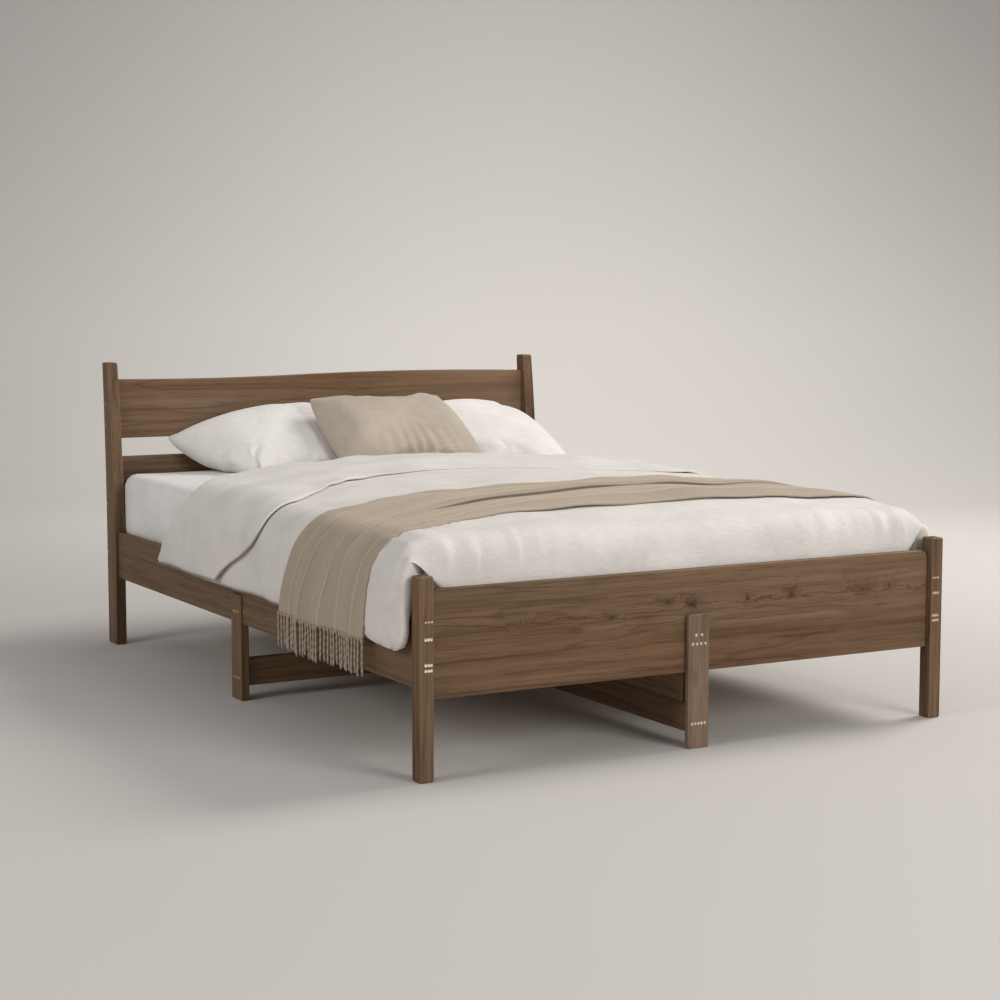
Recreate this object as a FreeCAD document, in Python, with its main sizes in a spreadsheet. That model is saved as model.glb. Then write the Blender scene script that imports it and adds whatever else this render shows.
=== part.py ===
import FreeCAD, Part
import math
import os
import re
import Sketcher
from types import SimpleNamespace

# A double bed: pegged and screwed wooden frame, slatted base, mattress and bedding.
# The frame has +Z up and +Y towards the head; the origin is on the floor under the middle.

# Driving dimensions in millimetres, angles in degrees
SIZES = (
    ("bed_width", 1480, "over the outer faces of the posts"),
    ("bed_length", 2126, "front of the foot posts to the leaning top of the head posts"),
    ("edge_round", 3, "eased edges of the boards"),
    ("post_round", 5, "eased edges of the posts"),
    ("joint_clearance", 0.2, "play of a tenon in its mortise"),
    ("cut_overrun", 5, "how far a cutting tool runs past a face"),
    ("foot_post_width", 36, ""),
    ("foot_post_depth", 42, ""),
    ("foot_post_rise", 32, "above the footboard panel"),
    ("head_post_width", 34, ""),
    ("head_post_depth", 72, "at the floor"),
    ("head_post_rise", 51, "above the ends of the upper headboard board"),
    ("rake_start", 300, "height where the head posts begin to lean back"),
    ("rake_front", 42, "lean of the front edge at the top"),
    ("rake_back", 16, "lean of the rear edge at the top"),
    ("foot_panel_setback", 18, "behind the front of the foot posts"),
    ("foot_panel_thickness", 22, ""),
    ("foot_panel_bottom", 182, ""),
    ("foot_panel_height", 246, ""),
    ("foot_panel_corner", 20, "radius of the upper corners"),
    ("foot_tenon_length", 26, ""),
    ("head_board_thickness", 20, ""),
    ("lower_board_bottom", 396, ""),
    ("lower_board_height", 174, ""),
    ("upper_board_bottom", 626, ""),
    ("upper_board_height", 179, "at the ends"),
    ("crest_rise", 7, "swell of the wavy upper edge"),
    ("crest_dip", 3, "hollow of the wavy upper edge"),
    ("head_tenon_length", 20, ""),
    ("tenon_thickness", 12, ""),
    ("tenon_shoulder", 16, "from the edge of a board to its tenon"),
    ("rail_inset", 11, "behind the outer face of the posts"),
    ("rail_thickness", 22, ""),
    ("rail_bottom", 205, ""),
    ("rail_height", 139, ""),
    ("side_leg_width", 66, ""),
    ("side_leg_thickness", 24, "below the rail"),
    ("side_leg_proud", 6, "of the outer face of the rail"),
    ("side_leg_housing", 6, "depth of the housing in the rail"),
    ("side_leg_tongue", 77, "height of the tongue above the lower edge of the rail"),
    ("side_leg_from_foot", 1082, "front of the foot posts to the middle of the leg"),
    ("leg_corner", 8, "radius of the upper corners of the legs"),
    ("center_leg_width", 58, ""),
    ("center_leg_thickness", 16, ""),
    ("center_leg_rise", 40, "above the underside of the slats"),
    ("stretcher_thickness", 45, ""),
    ("stretcher_bottom", 38, ""),
    ("stretcher_height", 70, ""),
    ("beam_thickness", 45, ""),
    ("slat_top", 300, ""),
    ("slat_width", 68, ""),
    ("slat_thickness", 18, ""),
    ("slat_end_gap", 2, "between a slat and the rail"),
    ("slat_margin", 15, "between the outer slats and the posts"),
    ("ledge_width", 30, ""),
    ("ledge_height", 34, ""),
    ("tape_width", 20, ""),
    ("tape_thickness", 1.2, ""),
    ("tape_offset", 380, "from the middle of the bed"),
    ("screw_head", 7, "diameter"),
    ("screw_head_depth", 2.4, ""),
    ("screw_shank", 3.8, "diameter"),
    ("screw_tip", 5, "length of the point"),
    ("screw_slot", 1, "width and depth of the driver slot"),
    ("screw_clearance", 0.1, "around a screw, bolt, nut or peg"),
    ("post_screw_length", 90, ""),
    ("leg_screw_length", 75, ""),
    ("lap_screw_length", 26, ""),
    ("ledge_screw_length", 45, ""),
    ("slat_screw_length", 40, ""),
    ("post_screw_pitch", 7, "between the screws of a row"),
    ("leg_row_half_width", 18, "middle of a leg to the last screw of a row"),
    ("lap_screw_pitch", 14, ""),
    ("low_row_height", 60, "rows through the legs into the stretchers"),
    ("beam_row_drop", 31, "underside of the slats to the row of four through a middle leg"),
    ("beam_pair_drop", 10, "underside of the slats to the pair through a middle leg"),
    ("beam_pair_pitch", 16, ""),
    ("peg_diameter", 5, ""),
    ("peg_length", 36, ""),
    ("peg_pitch", 7.5, ""),
    ("bolt_diameter", 8, ""),
    ("bolt_head", 14, "diameter"),
    ("bolt_head_depth", 5, ""),
    ("bolt_length", 125, "under the head"),
    ("nut_diameter", 12, ""),
    ("nut_length", 18, ""),
    ("nut_from_tip", 12, "tip of the bolt to the middle of the cross nut"),
    ("mattress_side_gap", 7, "between the mattress and a side rail"),
    ("mattress_head_gap", 27, "between the mattress and the headboard"),
    ("mattress_thickness", 215, ""),
    ("mattress_corner", 55, "radius seen from above"),
    ("mattress_edge", 46, "radius of the upper edge"),
    ("mattress_lower_edge", 20, "radius of the lower edge"),
    ("mattress_foot_gap", 23, "room for the tucked duvet behind the footboard"),
    ("fabric_clearance", 0.5, "between one layer of fabric and the next"),
    ("sheet_thickness", 1.5, ""),
    ("sheet_tuck", 8, "lower hem of the fitted sheet above the base of the mattress"),
    ("duvet_thickness", 22, "at the edges of the mattress"),
    ("duvet_side", 20, "thickness of the hanging sides"),
    ("duvet_crown", 32, "swell across the bed"),
    ("duvet_edge", 105, "radius where the duvet turns down"),
    ("duvet_hem", 300, "height of the hanging hem"),
    ("duvet_wave", 10, "depth of the folds in the hanging sides"),
    ("duvet_rail_gap", 3, "between the duvet and the side legs"),
    ("duvet_end_drop", 18, "fall of the rounded ends"),
    ("duvet_head_gap", 537, "between the folded head end and the headboard"),
    ("foot_tuck_bottom", 400, "lower edge of the end tucked behind the footboard"),
    ("foot_tuck", 17, "thickness of the tucked end"),
    ("turn_down", 390, "length turned back at the head end"),
    ("turn_down_thickness", 14, ""),
    ("throw_from_foot", 252, "front of the foot posts to the throw"),
    ("throw_width", 470, "along the bed"),
    ("throw_thickness", 4, ""),
    ("throw_fold", 9, "height of the lengthwise folds"),
    ("throw_hem", 285, "height of the hanging hem"),
    ("pillow_gap", 40, "between the two pillows"),
    ("pillow_left_margin", 111, "between the left head post and its pillow"),
    ("pillow_right_margin", 21, "between the right head post and its pillow"),
    ("pillow_depth", 385, ""),
    ("pillow_thickness", 140, ""),
    ("pillow_tilt", 35, "angle from lying flat"),
    ("cushion_width", 470, ""),
    ("cushion_height", 335, ""),
    ("cushion_thickness", 110, ""),
    ("cushion_tilt", 43, "angle from lying flat"),
    ("cushion_offset", 65, "middle of the bed to the middle of the cushion"),
    ("seam_thickness", 6, "where the two faces of a pillow meet"),
)
SLAT_COUNT = 14
THROW_FOLDS = 5
DUVET_WAVES = 7
PILLOW_STATIONS = 10
LEDGE_SCREW_STEP = 3
FULL_TURN = 360
QUARTER_TURN = 90

doc = FreeCAD.newDocument("double_bed")
sheet = doc.addObject("Spreadsheet::Sheet", "Sizes")
for row, (alias, number, note) in enumerate(SIZES, 1):
    sheet.set(f"A{row}", alias)
    sheet.set(f"B{row}", str(number))
    sheet.setAlias(f"B{row}", alias)
    sheet.set(f"C{row}", note)
doc.recompute()
ALIASES = {alias for alias, number, note in SIZES}
sizes = SimpleNamespace(**{alias: float(sheet.get(alias)) for alias in ALIASES})
nodes = []


def bound(formula):
    """The formula with every size read from the sheet."""
    return re.sub(r"[a-z_]+", lambda word: f"Sizes.{word[0]}" if word[0] in ALIASES else word[0], formula)


def bind(item, **formulas):
    for name, formula in formulas.items():
        item.setExpression(name, bound(formula))


def place(item, x, y, z, rotation=None):
    if rotation:
        item.Placement = FreeCAD.Placement(FreeCAD.Vector(), rotation)
    for axis, formula in zip("xyz", (x, y, z)):
        item.setExpression(f"Placement.Base.{axis}", bound(formula))


def node(item):
    nodes.append(item)
    return item


def origin_plane(body, role):
    return next(plane for plane in body.Origin.OriginFeatures if plane.Role == role)


def new_sketch(body, role, name):
    sketch = body.newObject("Sketcher::SketchObject", name)
    sketch.AttachmentSupport = [(origin_plane(body, role), "")]
    sketch.MapMode = "FlatFace"
    return sketch


def polygon(sketch, points):
    """A closed outline drawn at its size, its corners held by formulas; None means on the axis."""
    count = len(points)
    corners = [[sketch.evalExpression(bound(formula)) if formula else 0 for formula in point]
               for point in points]
    for index, corner in enumerate(corners):
        following = corners[(index + 1) % count]
        line = Part.LineSegment(FreeCAD.Vector(*corner, 0), FreeCAD.Vector(*following, 0))
        sketch.addGeometry(line, False)
    for index in range(count):
        sketch.addConstraint(Sketcher.Constraint("Coincident", index, 2, (index + 1) % count, 1))
    for index, point in enumerate(points):
        for kind, formula, drawn, axis in zip(("DistanceX", "DistanceY"), point, corners[index], (-2, -1)):
            if formula is None:
                sketch.addConstraint(Sketcher.Constraint("PointOnObject", index, 1, axis))
                continue
            held = sketch.addConstraint(Sketcher.Constraint(kind, -1, 1, index, 1, drawn))
            sketch.renameConstraint(held, f"corner_{index}_{kind}")
            sketch.setExpression(f".Constraints.corner_{index}_{kind}", bound(formula))


def board(label, size, at, round_size="edge_round", corner=None, corner_axis="y"):
    """A board with one corner at its origin, its edges eased, and its upper corners rounded if asked."""
    length, width, height = size
    body = doc.addObject("PartDesign::Body", label)
    outline = new_sketch(body, "XY_Plane", f"{label}_outline")
    polygon(outline, ((None, None), (length, None), (length, width), (None, width)))
    pad = body.newObject("PartDesign::Pad", f"{label}_pad")
    pad.Profile = outline
    bind(pad, Length=height)
    doc.recompute()
    last = pad
    if corner:
        last = body.newObject("PartDesign::Fillet", f"{label}_corners")
        last.Base = (pad, upper_edges(pad.Shape, corner_axis))
        bind(last, Radius=corner)
        doc.recompute()
    if round_size:
        eased = body.newObject("PartDesign::Fillet", f"{label}_eased")
        eased.Base = (last, [""])
        eased.UseAllEdges = True
        bind(eased, Radius=round_size)
        last = eased
    body.Tip = last
    place(body, *at)
    return body


def upper_edges(shape, axis):
    """Names of the top edges of a board that run along an axis."""
    along = {"x": FreeCAD.Vector(1, 0, 0), "y": FreeCAD.Vector(0, 1, 0)}[axis]
    top = shape.BoundBox.ZMax
    names = []
    for index, edge in enumerate(shape.Edges, 1):
        direction = edge.Vertexes[1].Point - edge.Vertexes[0].Point
        level = edge.BoundBox.ZMin > top - edge.Length * 1e-6
        if level and direction.cross(along).Length < direction.Length * 1e-6:
            names.append(f"Edge{index}")
    return names


def block(label, low, high):
    """A plain box between two corners given by formulas."""
    box = doc.addObject("Part::Box", label)
    bind(box, Length=f"({high[0]}) - ({low[0]})", Width=f"({high[1]}) - ({low[1]})",
         Height=f"({high[2]}) - ({low[2]})")
    place(box, *low)
    return box


def joined(label, *pieces):
    fuse = doc.addObject("Part::MultiFuse", label)
    fuse.Shapes = list(pieces)
    return fuse


def group(label, pieces):
    compound = doc.addObject("Part::Compound", label)
    compound.Links = list(pieces)
    return compound


def cut(label, base, *tools):
    result = doc.addObject("Part::Cut", label)
    result.Base = base
    result.Tool = tools[0] if len(tools) == 1 else group(f"{label}_tools", tools)
    return result


def mirrored(label, source):
    """The same piece on the other side of the bed."""
    mirror = doc.addObject("Part::Mirroring", label)
    mirror.Source = source
    mirror.Normal = FreeCAD.Vector(1, 0, 0)
    return mirror


def linked(source, name, x, y, z, rotation):
    link = doc.addObject("App::Link", name)
    link.LinkedObject = source
    place(link, x, y, z, rotation)
    return link


# Places shared by several pieces
HALF_WIDTH = "bed_width / 2"
FOOT_FACE = "-bed_length / 2"
FOOT_POST_REAR = f"{FOOT_FACE} + foot_post_depth"
PANEL_FRONT = f"{FOOT_FACE} + foot_panel_setback"
PANEL_REAR = f"{PANEL_FRONT} + foot_panel_thickness"
HEAD_POST_REAR = "bed_length / 2 - rake_back"
HEAD_POST_FRONT = f"{HEAD_POST_REAR} - head_post_depth"
HEAD_POST_HEIGHT = "upper_board_bottom + upper_board_height + head_post_rise"
HEAD_BOARD_FRONT = f"{HEAD_POST_REAR} - head_board_thickness"
HEAD_BOARD_MIDDLE = f"{HEAD_POST_REAR} - head_board_thickness / 2"
RAIL_OUTER = f"-{HALF_WIDTH} + rail_inset"
RAIL_MIDDLE = f"{RAIL_OUTER} + rail_thickness / 2"
RAIL_INNER = f"{RAIL_OUTER} + rail_thickness"
RAIL_LENGTH = f"({HEAD_POST_FRONT}) - ({FOOT_POST_REAR})"
SIDE_LEG_OUTER = f"{RAIL_OUTER} - side_leg_proud"
SIDE_LEG_INNER = f"{SIDE_LEG_OUTER} + side_leg_thickness"
SIDE_LEG_MIDDLE = f"{FOOT_FACE} + side_leg_from_foot"
SIDE_LEG_TOP = "rail_bottom + side_leg_tongue"
STRETCHER_TOP = "stretcher_bottom + stretcher_height"
SLAT_BOTTOM = "slat_top - slat_thickness"
LEDGE_INNER = f"{RAIL_INNER} + ledge_width"
HEAD_INNER = f"-{HALF_WIDTH} + head_post_width"
FOOT_INNER = f"-{HALF_WIDTH} + foot_post_width"

# Directions in which a fastener is driven
X_AXIS = FreeCAD.Vector(1, 0, 0)
Y_AXIS = FreeCAD.Vector(0, 1, 0)
TO_HEAD = FreeCAD.Rotation(X_AXIS, QUARTER_TURN)
TO_FOOT = FreeCAD.Rotation(X_AXIS, -QUARTER_TURN)
TO_RIGHT = FreeCAD.Rotation(Y_AXIS, -QUARTER_TURN)
TO_LEFT = FreeCAD.Rotation(Y_AXIS, QUARTER_TURN)
DOWN = FreeCAD.Rotation()


# Fasteners: one model of each kind, and the hole that it sits in

def turned(label, points):
    """A body of revolution about Z, from points (radius, height)."""
    body = doc.addObject("PartDesign::Body", label)
    profile = new_sketch(body, "XZ_Plane", f"{label}_profile")
    polygon(profile, points)
    doc.recompute()
    turn = body.newObject("PartDesign::Revolution", f"{label}_turn")
    turn.Profile = profile
    turn.ReferenceAxis = (profile, ["V_Axis"])
    turn.Angle = FULL_TURN
    body.Tip = turn
    return body


def screw(kind):
    """A countersunk slotted wood screw, its head level with z = 0 and its point downwards."""
    head, shank, length = "screw_head / 2", "screw_shank / 2", f"{kind}_length"
    body = turned(f"{kind}_model", (
        (None, None), (head, None), (shank, "-screw_head_depth"),
        (shank, f"screw_tip - {length}"), (None, f"-{length}")))
    slot = new_sketch(body, "XY_Plane", f"{kind}_slot_outline")
    polygon(slot, (("-screw_head", "-screw_slot / 2"), ("screw_head", "-screw_slot / 2"),
                   ("screw_head", "screw_slot / 2"), ("-screw_head", "screw_slot / 2")))
    doc.recompute()
    pocket = body.newObject("PartDesign::Pocket", f"{kind}_slot")
    pocket.Profile = slot
    bind(pocket, Length="screw_slot")
    body.Tip = pocket
    whole = body.Group[1].Shape.Volume
    doc.recompute()
    if pocket.Shape.Volume >= whole:
        raise RuntimeError(f"the slot of {kind} cuts nothing")
    return body


def screw_hole(kind):
    head, shank = "screw_head / 2 + screw_clearance", "screw_shank / 2 + screw_clearance"
    depth = f"-{kind}_length - screw_clearance"
    return turned(f"{kind}_hole", (
        (None, "cut_overrun"), (head, "cut_overrun"), (head, None), (shank, "-screw_head_depth"),
        (shank, depth), (None, depth)))


def fastener_rows(label, source, hole, rows):
    """Copies of a fastener, and of its hole, at places (x, y, z) with a driving direction."""
    pieces, holes = [], []
    for index, (rotation, x, y, z) in enumerate(rows, 1):
        pieces.append(linked(source, f"{label}_{index}", x, y, z, rotation))
        holes.append(linked(hole, f"{label}_hole_{index}", x, y, z, rotation))
    return group(f"{label}_set", pieces), group(f"{label}_holes", holes)


def both_sides(label, left_set):
    return node(group(label, (left_set, mirrored(f"{label}_mirror", left_set))))


def spread(count):
    """Even steps from -1 to 1."""
    return [2 * index / (count - 1) - 1 for index in range(count)]


SCREWS = {kind: (screw(kind), screw_hole(kind))
          for kind in ("post_screw", "leg_screw", "lap_screw", "ledge_screw", "slat_screw")}

FOOT_ROW_SHARES = (0.33, 0.42, 0.83)
rail_foot_set, rail_foot_holes = fastener_rows("rail_foot_screw", *SCREWS["post_screw"], [
    (TO_HEAD, f"{RAIL_MIDDLE} + {step} * post_screw_pitch", FOOT_FACE, f"rail_bottom + {share} * rail_height")
    for share in FOOT_ROW_SHARES for step in spread(3)])
both_sides("rail_foot_screws", rail_foot_set)

UPPER_SCREW_SHARES = (0.24, 0.58)
LOWER_SCREW_SHARES = (0.18, 0.72)
END_RAIL_SCREW_SHARES = (0.14, 0.53)
head_rows = [("upper_board_bottom", "upper_board_height", share) for share in UPPER_SCREW_SHARES]
head_rows += [("lower_board_bottom", "lower_board_height", share) for share in LOWER_SCREW_SHARES]
head_rows += [("rail_bottom", "rail_height", share) for share in END_RAIL_SCREW_SHARES]
head_screw_set, head_screw_holes = fastener_rows("head_post_screw", *SCREWS["post_screw"], [
    (TO_RIGHT, f"-{HALF_WIDTH}", HEAD_BOARD_MIDDLE, f"{bottom} + {share} * {height}")
    for bottom, height, share in head_rows])
both_sides("head_post_screws", head_screw_set)


def center_leg_rows(rotation, face):
    places = [("low_row_height", f"{step} * leg_row_half_width") for step in spread(5)]
    places += [(f"{SLAT_BOTTOM} - beam_row_drop", f"{step} * leg_row_half_width") for step in spread(4)]
    places += [(f"{SLAT_BOTTOM} - beam_pair_drop", f"{step} * beam_pair_pitch / 2") for step in spread(2)]
    return [(rotation, x, face, height) for height, x in places]


foot_leg_set, foot_leg_holes = fastener_rows(
    "foot_leg_screw", *SCREWS["leg_screw"],
    center_leg_rows(TO_HEAD, f"{PANEL_FRONT} - center_leg_thickness"))
head_leg_set, head_leg_holes = fastener_rows(
    "head_leg_screw", *SCREWS["leg_screw"],
    center_leg_rows(TO_FOOT, f"{HEAD_POST_REAR} + center_leg_thickness"))
node(group("center_leg_screws", (foot_leg_set, head_leg_set)))

LAP_ROW_SHARE = 0.4
lap_set, lap_holes = fastener_rows("side_leg_lap_screw", *SCREWS["lap_screw"], [
    (TO_RIGHT, SIDE_LEG_OUTER, f"{SIDE_LEG_MIDDLE} + {step} * lap_screw_pitch",
     f"rail_bottom + {LAP_ROW_SHARE} * side_leg_tongue") for step in spread(3)])
low_set, low_holes = fastener_rows("side_leg_low_screw", *SCREWS["leg_screw"], [
    (TO_RIGHT, SIDE_LEG_OUTER, f"{SIDE_LEG_MIDDLE} + {step} * leg_row_half_width", "low_row_height")
    for step in spread(4)])
both_sides("side_leg_screws", group("side_leg_screw_sets", (lap_set, low_set)))

SLAT_FIRST = f"{FOOT_POST_REAR} + slat_margin + slat_width / 2"
SLAT_SPAN = f"({RAIL_LENGTH} - 2 * slat_margin - slat_width)"
SLAT_PITCH = f"{SLAT_SPAN} / {SLAT_COUNT - 1}"
slat_middles = [f"{SLAT_FIRST} + {index} * {SLAT_PITCH}" for index in range(SLAT_COUNT)]
slat_screw_set, slat_screw_holes = fastener_rows("slat_screw_place", *SCREWS["slat_screw"], [
    (DOWN, f"{RAIL_INNER} + ledge_width / 2", middle, "slat_top") for middle in slat_middles])
both_sides("slat_screws", slat_screw_set)
ledge_set, ledge_holes = fastener_rows("ledge_screw_place", *SCREWS["ledge_screw"], [
    (TO_LEFT, LEDGE_INNER, f"{SLAT_FIRST} + {index + 0.5} * {SLAT_PITCH}",
     f"{SLAT_BOTTOM} - ledge_height / 2") for index in range(0, SLAT_COUNT - 1, LEDGE_SCREW_STEP)])
both_sides("ledge_screws", ledge_set)

peg_model = turned("peg_model", (
    (None, None), ("peg_diameter / 2", None), ("peg_diameter / 2", "-peg_length"), (None, "-peg_length")))
peg_radius = "peg_diameter / 2 + screw_clearance"
peg_hole = turned("peg_hole", (
    (None, "cut_overrun"), (peg_radius, "cut_overrun"),
    (peg_radius, "-peg_length - screw_clearance"), (None, "-peg_length - screw_clearance")))
PEG_ROW_SHARE = 0.72
peg_set, peg_holes = fastener_rows("tenon_peg", peg_model, peg_hole, [
    (TO_HEAD, f"{FOOT_INNER} - foot_tenon_length / 2 + {step} * peg_pitch", FOOT_FACE,
     f"foot_panel_bottom + {PEG_ROW_SHARE} * foot_panel_height") for step in spread(3)])
both_sides("tenon_pegs", peg_set)

BOLT_SHARES = (0.3, 0.75)
bolt_model = turned("bolt_model", (
    (None, "bolt_head_depth"), ("bolt_head / 2", "bolt_head_depth"), ("bolt_head / 2", None),
    ("bolt_diameter / 2", None), ("bolt_diameter / 2", "-bolt_length"), (None, "-bolt_length")))
bolt_radius = "bolt_diameter / 2 + screw_clearance"
bolt_head_radius = "bolt_head / 2 + screw_clearance"
bolt_hole = turned("bolt_hole", (
    (None, "bolt_head_depth + cut_overrun"), (bolt_head_radius, "bolt_head_depth + cut_overrun"),
    (bolt_head_radius, None), (bolt_radius, None),
    (bolt_radius, "-bolt_length - screw_clearance"), (None, "-bolt_length - screw_clearance")))
BOLT_SEAT = f"{HEAD_POST_REAR} - bolt_head_depth"
bolt_heights = [f"rail_bottom + {share} * rail_height" for share in BOLT_SHARES]
bolt_set, bolt_holes = fastener_rows("rail_bolt", bolt_model, bolt_hole, [
    (TO_FOOT, RAIL_MIDDLE, BOLT_SEAT, height) for height in bolt_heights])
both_sides("rail_bolts", bolt_set)
nut_model = turned("nut_model", (
    (None, None), ("nut_diameter / 2", None), ("nut_diameter / 2", "-nut_length"), (None, "-nut_length")))
nut_radius = "nut_diameter / 2 + screw_clearance"
nut_hole = turned("nut_hole", (
    (None, "cut_overrun"), (nut_radius, "cut_overrun"),
    (nut_radius, "-nut_length - screw_clearance"), (None, "-nut_length - screw_clearance")))
nut_set, nut_holes = fastener_rows("barrel_nut", nut_model, nut_hole, [
    (TO_LEFT, RAIL_INNER, f"{BOLT_SEAT} - bolt_length + nut_from_tip", height) for height in bolt_heights])
both_sides("barrel_nuts", cut("barrel_nut_bored", nut_set, bolt_holes))


# Boards with tenons

def tenon(label, inner, length, front, bottom, height, thickness, grow="0"):
    """A tenon at the left end of a board, or its mortise when grown by a clearance."""
    shoulder = f"({thickness} - tenon_thickness) / 2"
    low = (f"{inner} - {length} - ({grow})", f"{front} + {shoulder} - ({grow})",
           f"{bottom} + tenon_shoulder - ({grow})")
    reach = "cut_overrun" if grow != "0" else "edge_round"
    high = (f"{inner} + {reach}", f"{front} + {shoulder} + tenon_thickness + ({grow})",
            f"{bottom} + {height} - tenon_shoulder + ({grow})")
    return block(label, low, high)


def tenoned(label, panel, first_tenon, *holes):
    """A cross board with a tenon at each end and the holes of its fasteners."""
    whole = joined(f"{label}_tenoned", panel, first_tenon, mirrored(f"{label}_tenon_right", first_tenon))
    tools = list(holes) + [mirrored(f"{label}_holes_{index}", hole) for index, hole in enumerate(holes)]
    return cut(label, whole, *tools)


FOOT_TENON = (FOOT_INNER, "foot_tenon_length", PANEL_FRONT, "foot_panel_bottom", "foot_panel_height",
              "foot_panel_thickness")
foot_panel = board(
    "footboard_blank", ("bed_width - 2 * foot_post_width", "foot_panel_thickness", "foot_panel_height"),
    (FOOT_INNER, PANEL_FRONT, "foot_panel_bottom"), corner="foot_panel_corner")
foot_tenon = tenon("foot_tenon", *FOOT_TENON)
node(cut("footboard_panel",
         tenoned("footboard_drilled", foot_panel, foot_tenon, rail_foot_holes, peg_holes), foot_leg_holes))

CROSS_BOARD_LENGTH = "bed_width - 2 * head_post_width"


def head_tenon(label, bottom, height, grow="0"):
    return tenon(label, HEAD_INNER, "head_tenon_length", HEAD_BOARD_FRONT, bottom, height,
                 "head_board_thickness", grow)


def head_cross_board(label, bottom, height):
    return board(f"{label}_blank", (CROSS_BOARD_LENGTH, "head_board_thickness", height),
                 (HEAD_INNER, HEAD_BOARD_FRONT, bottom))


HEAD_BOARDS = {
    "headboard_upper_board": ("upper_board_bottom", "upper_board_height"),
    "headboard_lower_board": ("lower_board_bottom", "lower_board_height"),
    "head_end_rail": ("rail_bottom", "rail_height"),
}
CREST_HOLLOW_SHARE = 0.2
CREST_TURN_SHARE = 0.38
CREST_SWELL_SHARE = 0.68


def wavy_board(label, low):
    """The upper headboard board, whose top edge dips and then swells."""
    length = sizes.bed_width - 2 * sizes.head_post_width
    height = sizes.upper_board_height
    points = [FreeCAD.Vector(share * length, 0, height + lift) for share, lift in (
        (0, 0), (CREST_HOLLOW_SHARE, -sizes.crest_dip), (CREST_TURN_SHARE, 0),
        (CREST_SWELL_SHARE, sizes.crest_rise), (1, 0))]
    edges = [Part.Arc(*points[0:3]).toShape(), Part.Arc(*points[2:5]).toShape()]
    corners = [points[4], FreeCAD.Vector(length, 0, 0), FreeCAD.Vector(), points[0]]
    edges += [Part.makeLine(start, end) for start, end in zip(corners, corners[1:])]
    outline = Part.Face(Part.Wire(Part.__sortEdges__(edges)))
    solid = outline.extrude(FreeCAD.Vector(0, sizes.head_board_thickness, 0))
    item = doc.addObject("Part::Feature", label)
    item.Shape = solid.makeFillet(sizes.edge_round, solid.Edges)
    place(item, *low)
    return item


for label, (bottom, height) in HEAD_BOARDS.items():
    if label == "headboard_upper_board":
        blank = wavy_board(f"{label}_blank", (HEAD_INNER, HEAD_BOARD_FRONT, bottom))
    else:
        blank = head_cross_board(label, bottom, height)
    holes = [head_screw_holes]
    if label == "head_end_rail":
        holes.append(bolt_holes)
    drilled = tenoned(f"{label}_drilled", blank, head_tenon(f"{label}_tenon", bottom, height), *holes)
    if label == "head_end_rail":
        drilled = cut(f"{label}_through", drilled, head_leg_holes)
    drilled.Label = label
    node(drilled)


# Posts

def left_and_right(left):
    node(left)
    node(mirrored(left.Label.replace("left", "right"), left))


FOOT_POST_HEIGHT = "foot_panel_bottom + foot_panel_height + foot_post_rise"
foot_post = board("foot_post_blank", ("foot_post_width", "foot_post_depth", FOOT_POST_HEIGHT),
                  (f"-{HALF_WIDTH}", FOOT_FACE, "0"), "post_round")
foot_mortise = tenon("foot_mortise", *FOOT_TENON, grow="joint_clearance")
left_and_right(cut("foot_post_left", foot_post, foot_mortise, rail_foot_holes, peg_holes))


def head_post_blank():
    """A post that is straight at the bed and leans back above it on two long arcs."""
    body = doc.addObject("PartDesign::Body", "head_post_blank")
    outline = new_sketch(body, "YZ_Plane", "head_post_outline")
    depth, start = sizes.head_post_depth, sizes.rake_start
    top = outline.evalExpression(bound(HEAD_POST_HEIGHT))

    def raked(foot, lean):
        radius = ((top - start) ** 2 + lean ** 2) / (2 * lean)
        angle = math.asin((top - start) / radius)
        circle = Part.Circle(FreeCAD.Vector(foot + radius, start, 0), FreeCAD.Vector(0, 0, 1), radius)
        return Part.ArcOfCircle(circle, math.pi - angle, math.pi)

    def line(first, second):
        return Part.LineSegment(FreeCAD.Vector(*first, 0), FreeCAD.Vector(*second, 0))

    front_top, rear_top = (sizes.rake_front, top), (depth + sizes.rake_back, top)
    for shape in (line((0, 0), (0, start)), raked(0, sizes.rake_front), line(front_top, rear_top),
                  raked(depth, sizes.rake_back), line((depth, start), (depth, 0)), line((depth, 0), (0, 0))):
        outline.addGeometry(shape, False)
    for kind, *ends in (
            ("Coincident", 0, 1, -1, 1), ("Vertical", 0), ("Tangent", 0, 2, 1, 2),
            ("Coincident", 1, 1, 2, 1), ("Horizontal", 2), ("Coincident", 2, 2, 3, 1),
            ("Tangent", 3, 2, 4, 1), ("Vertical", 4), ("Coincident", 4, 2, 5, 1),
            ("Coincident", 5, 2, 0, 1), ("Horizontal", 5), ("Equal", 0, 4)):
        outline.addConstraint(Sketcher.Constraint(kind, *ends))
    for name, formula, kind, *ends in (
            ("start", "rake_start", "DistanceY", 0, 1, 0, 2),
            ("top", HEAD_POST_HEIGHT, "DistanceY", 0, 1, 1, 1),
            ("front", "rake_front", "DistanceX", 0, 1, 1, 1), ("back", "rake_back", "DistanceX", 4, 2, 3, 1),
            ("depth", "head_post_depth", "DistanceX", 5, 2, 5, 1)):
        drawn = outline.evalExpression(bound(formula))
        held = outline.addConstraint(Sketcher.Constraint(kind, *ends, drawn))
        outline.renameConstraint(held, name)
        outline.setExpression(f".Constraints.{name}", bound(formula))
    doc.recompute()
    pad = body.newObject("PartDesign::Pad", "head_post_pad")
    pad.Profile = outline
    bind(pad, Length="head_post_width")
    doc.recompute()
    eased = body.newObject("PartDesign::Fillet", "head_post_eased")
    eased.Base = (pad, [""])
    eased.UseAllEdges = True
    bind(eased, Radius="post_round")
    body.Tip = eased
    place(body, f"-{HALF_WIDTH}", HEAD_POST_FRONT, "0")
    return body


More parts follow.
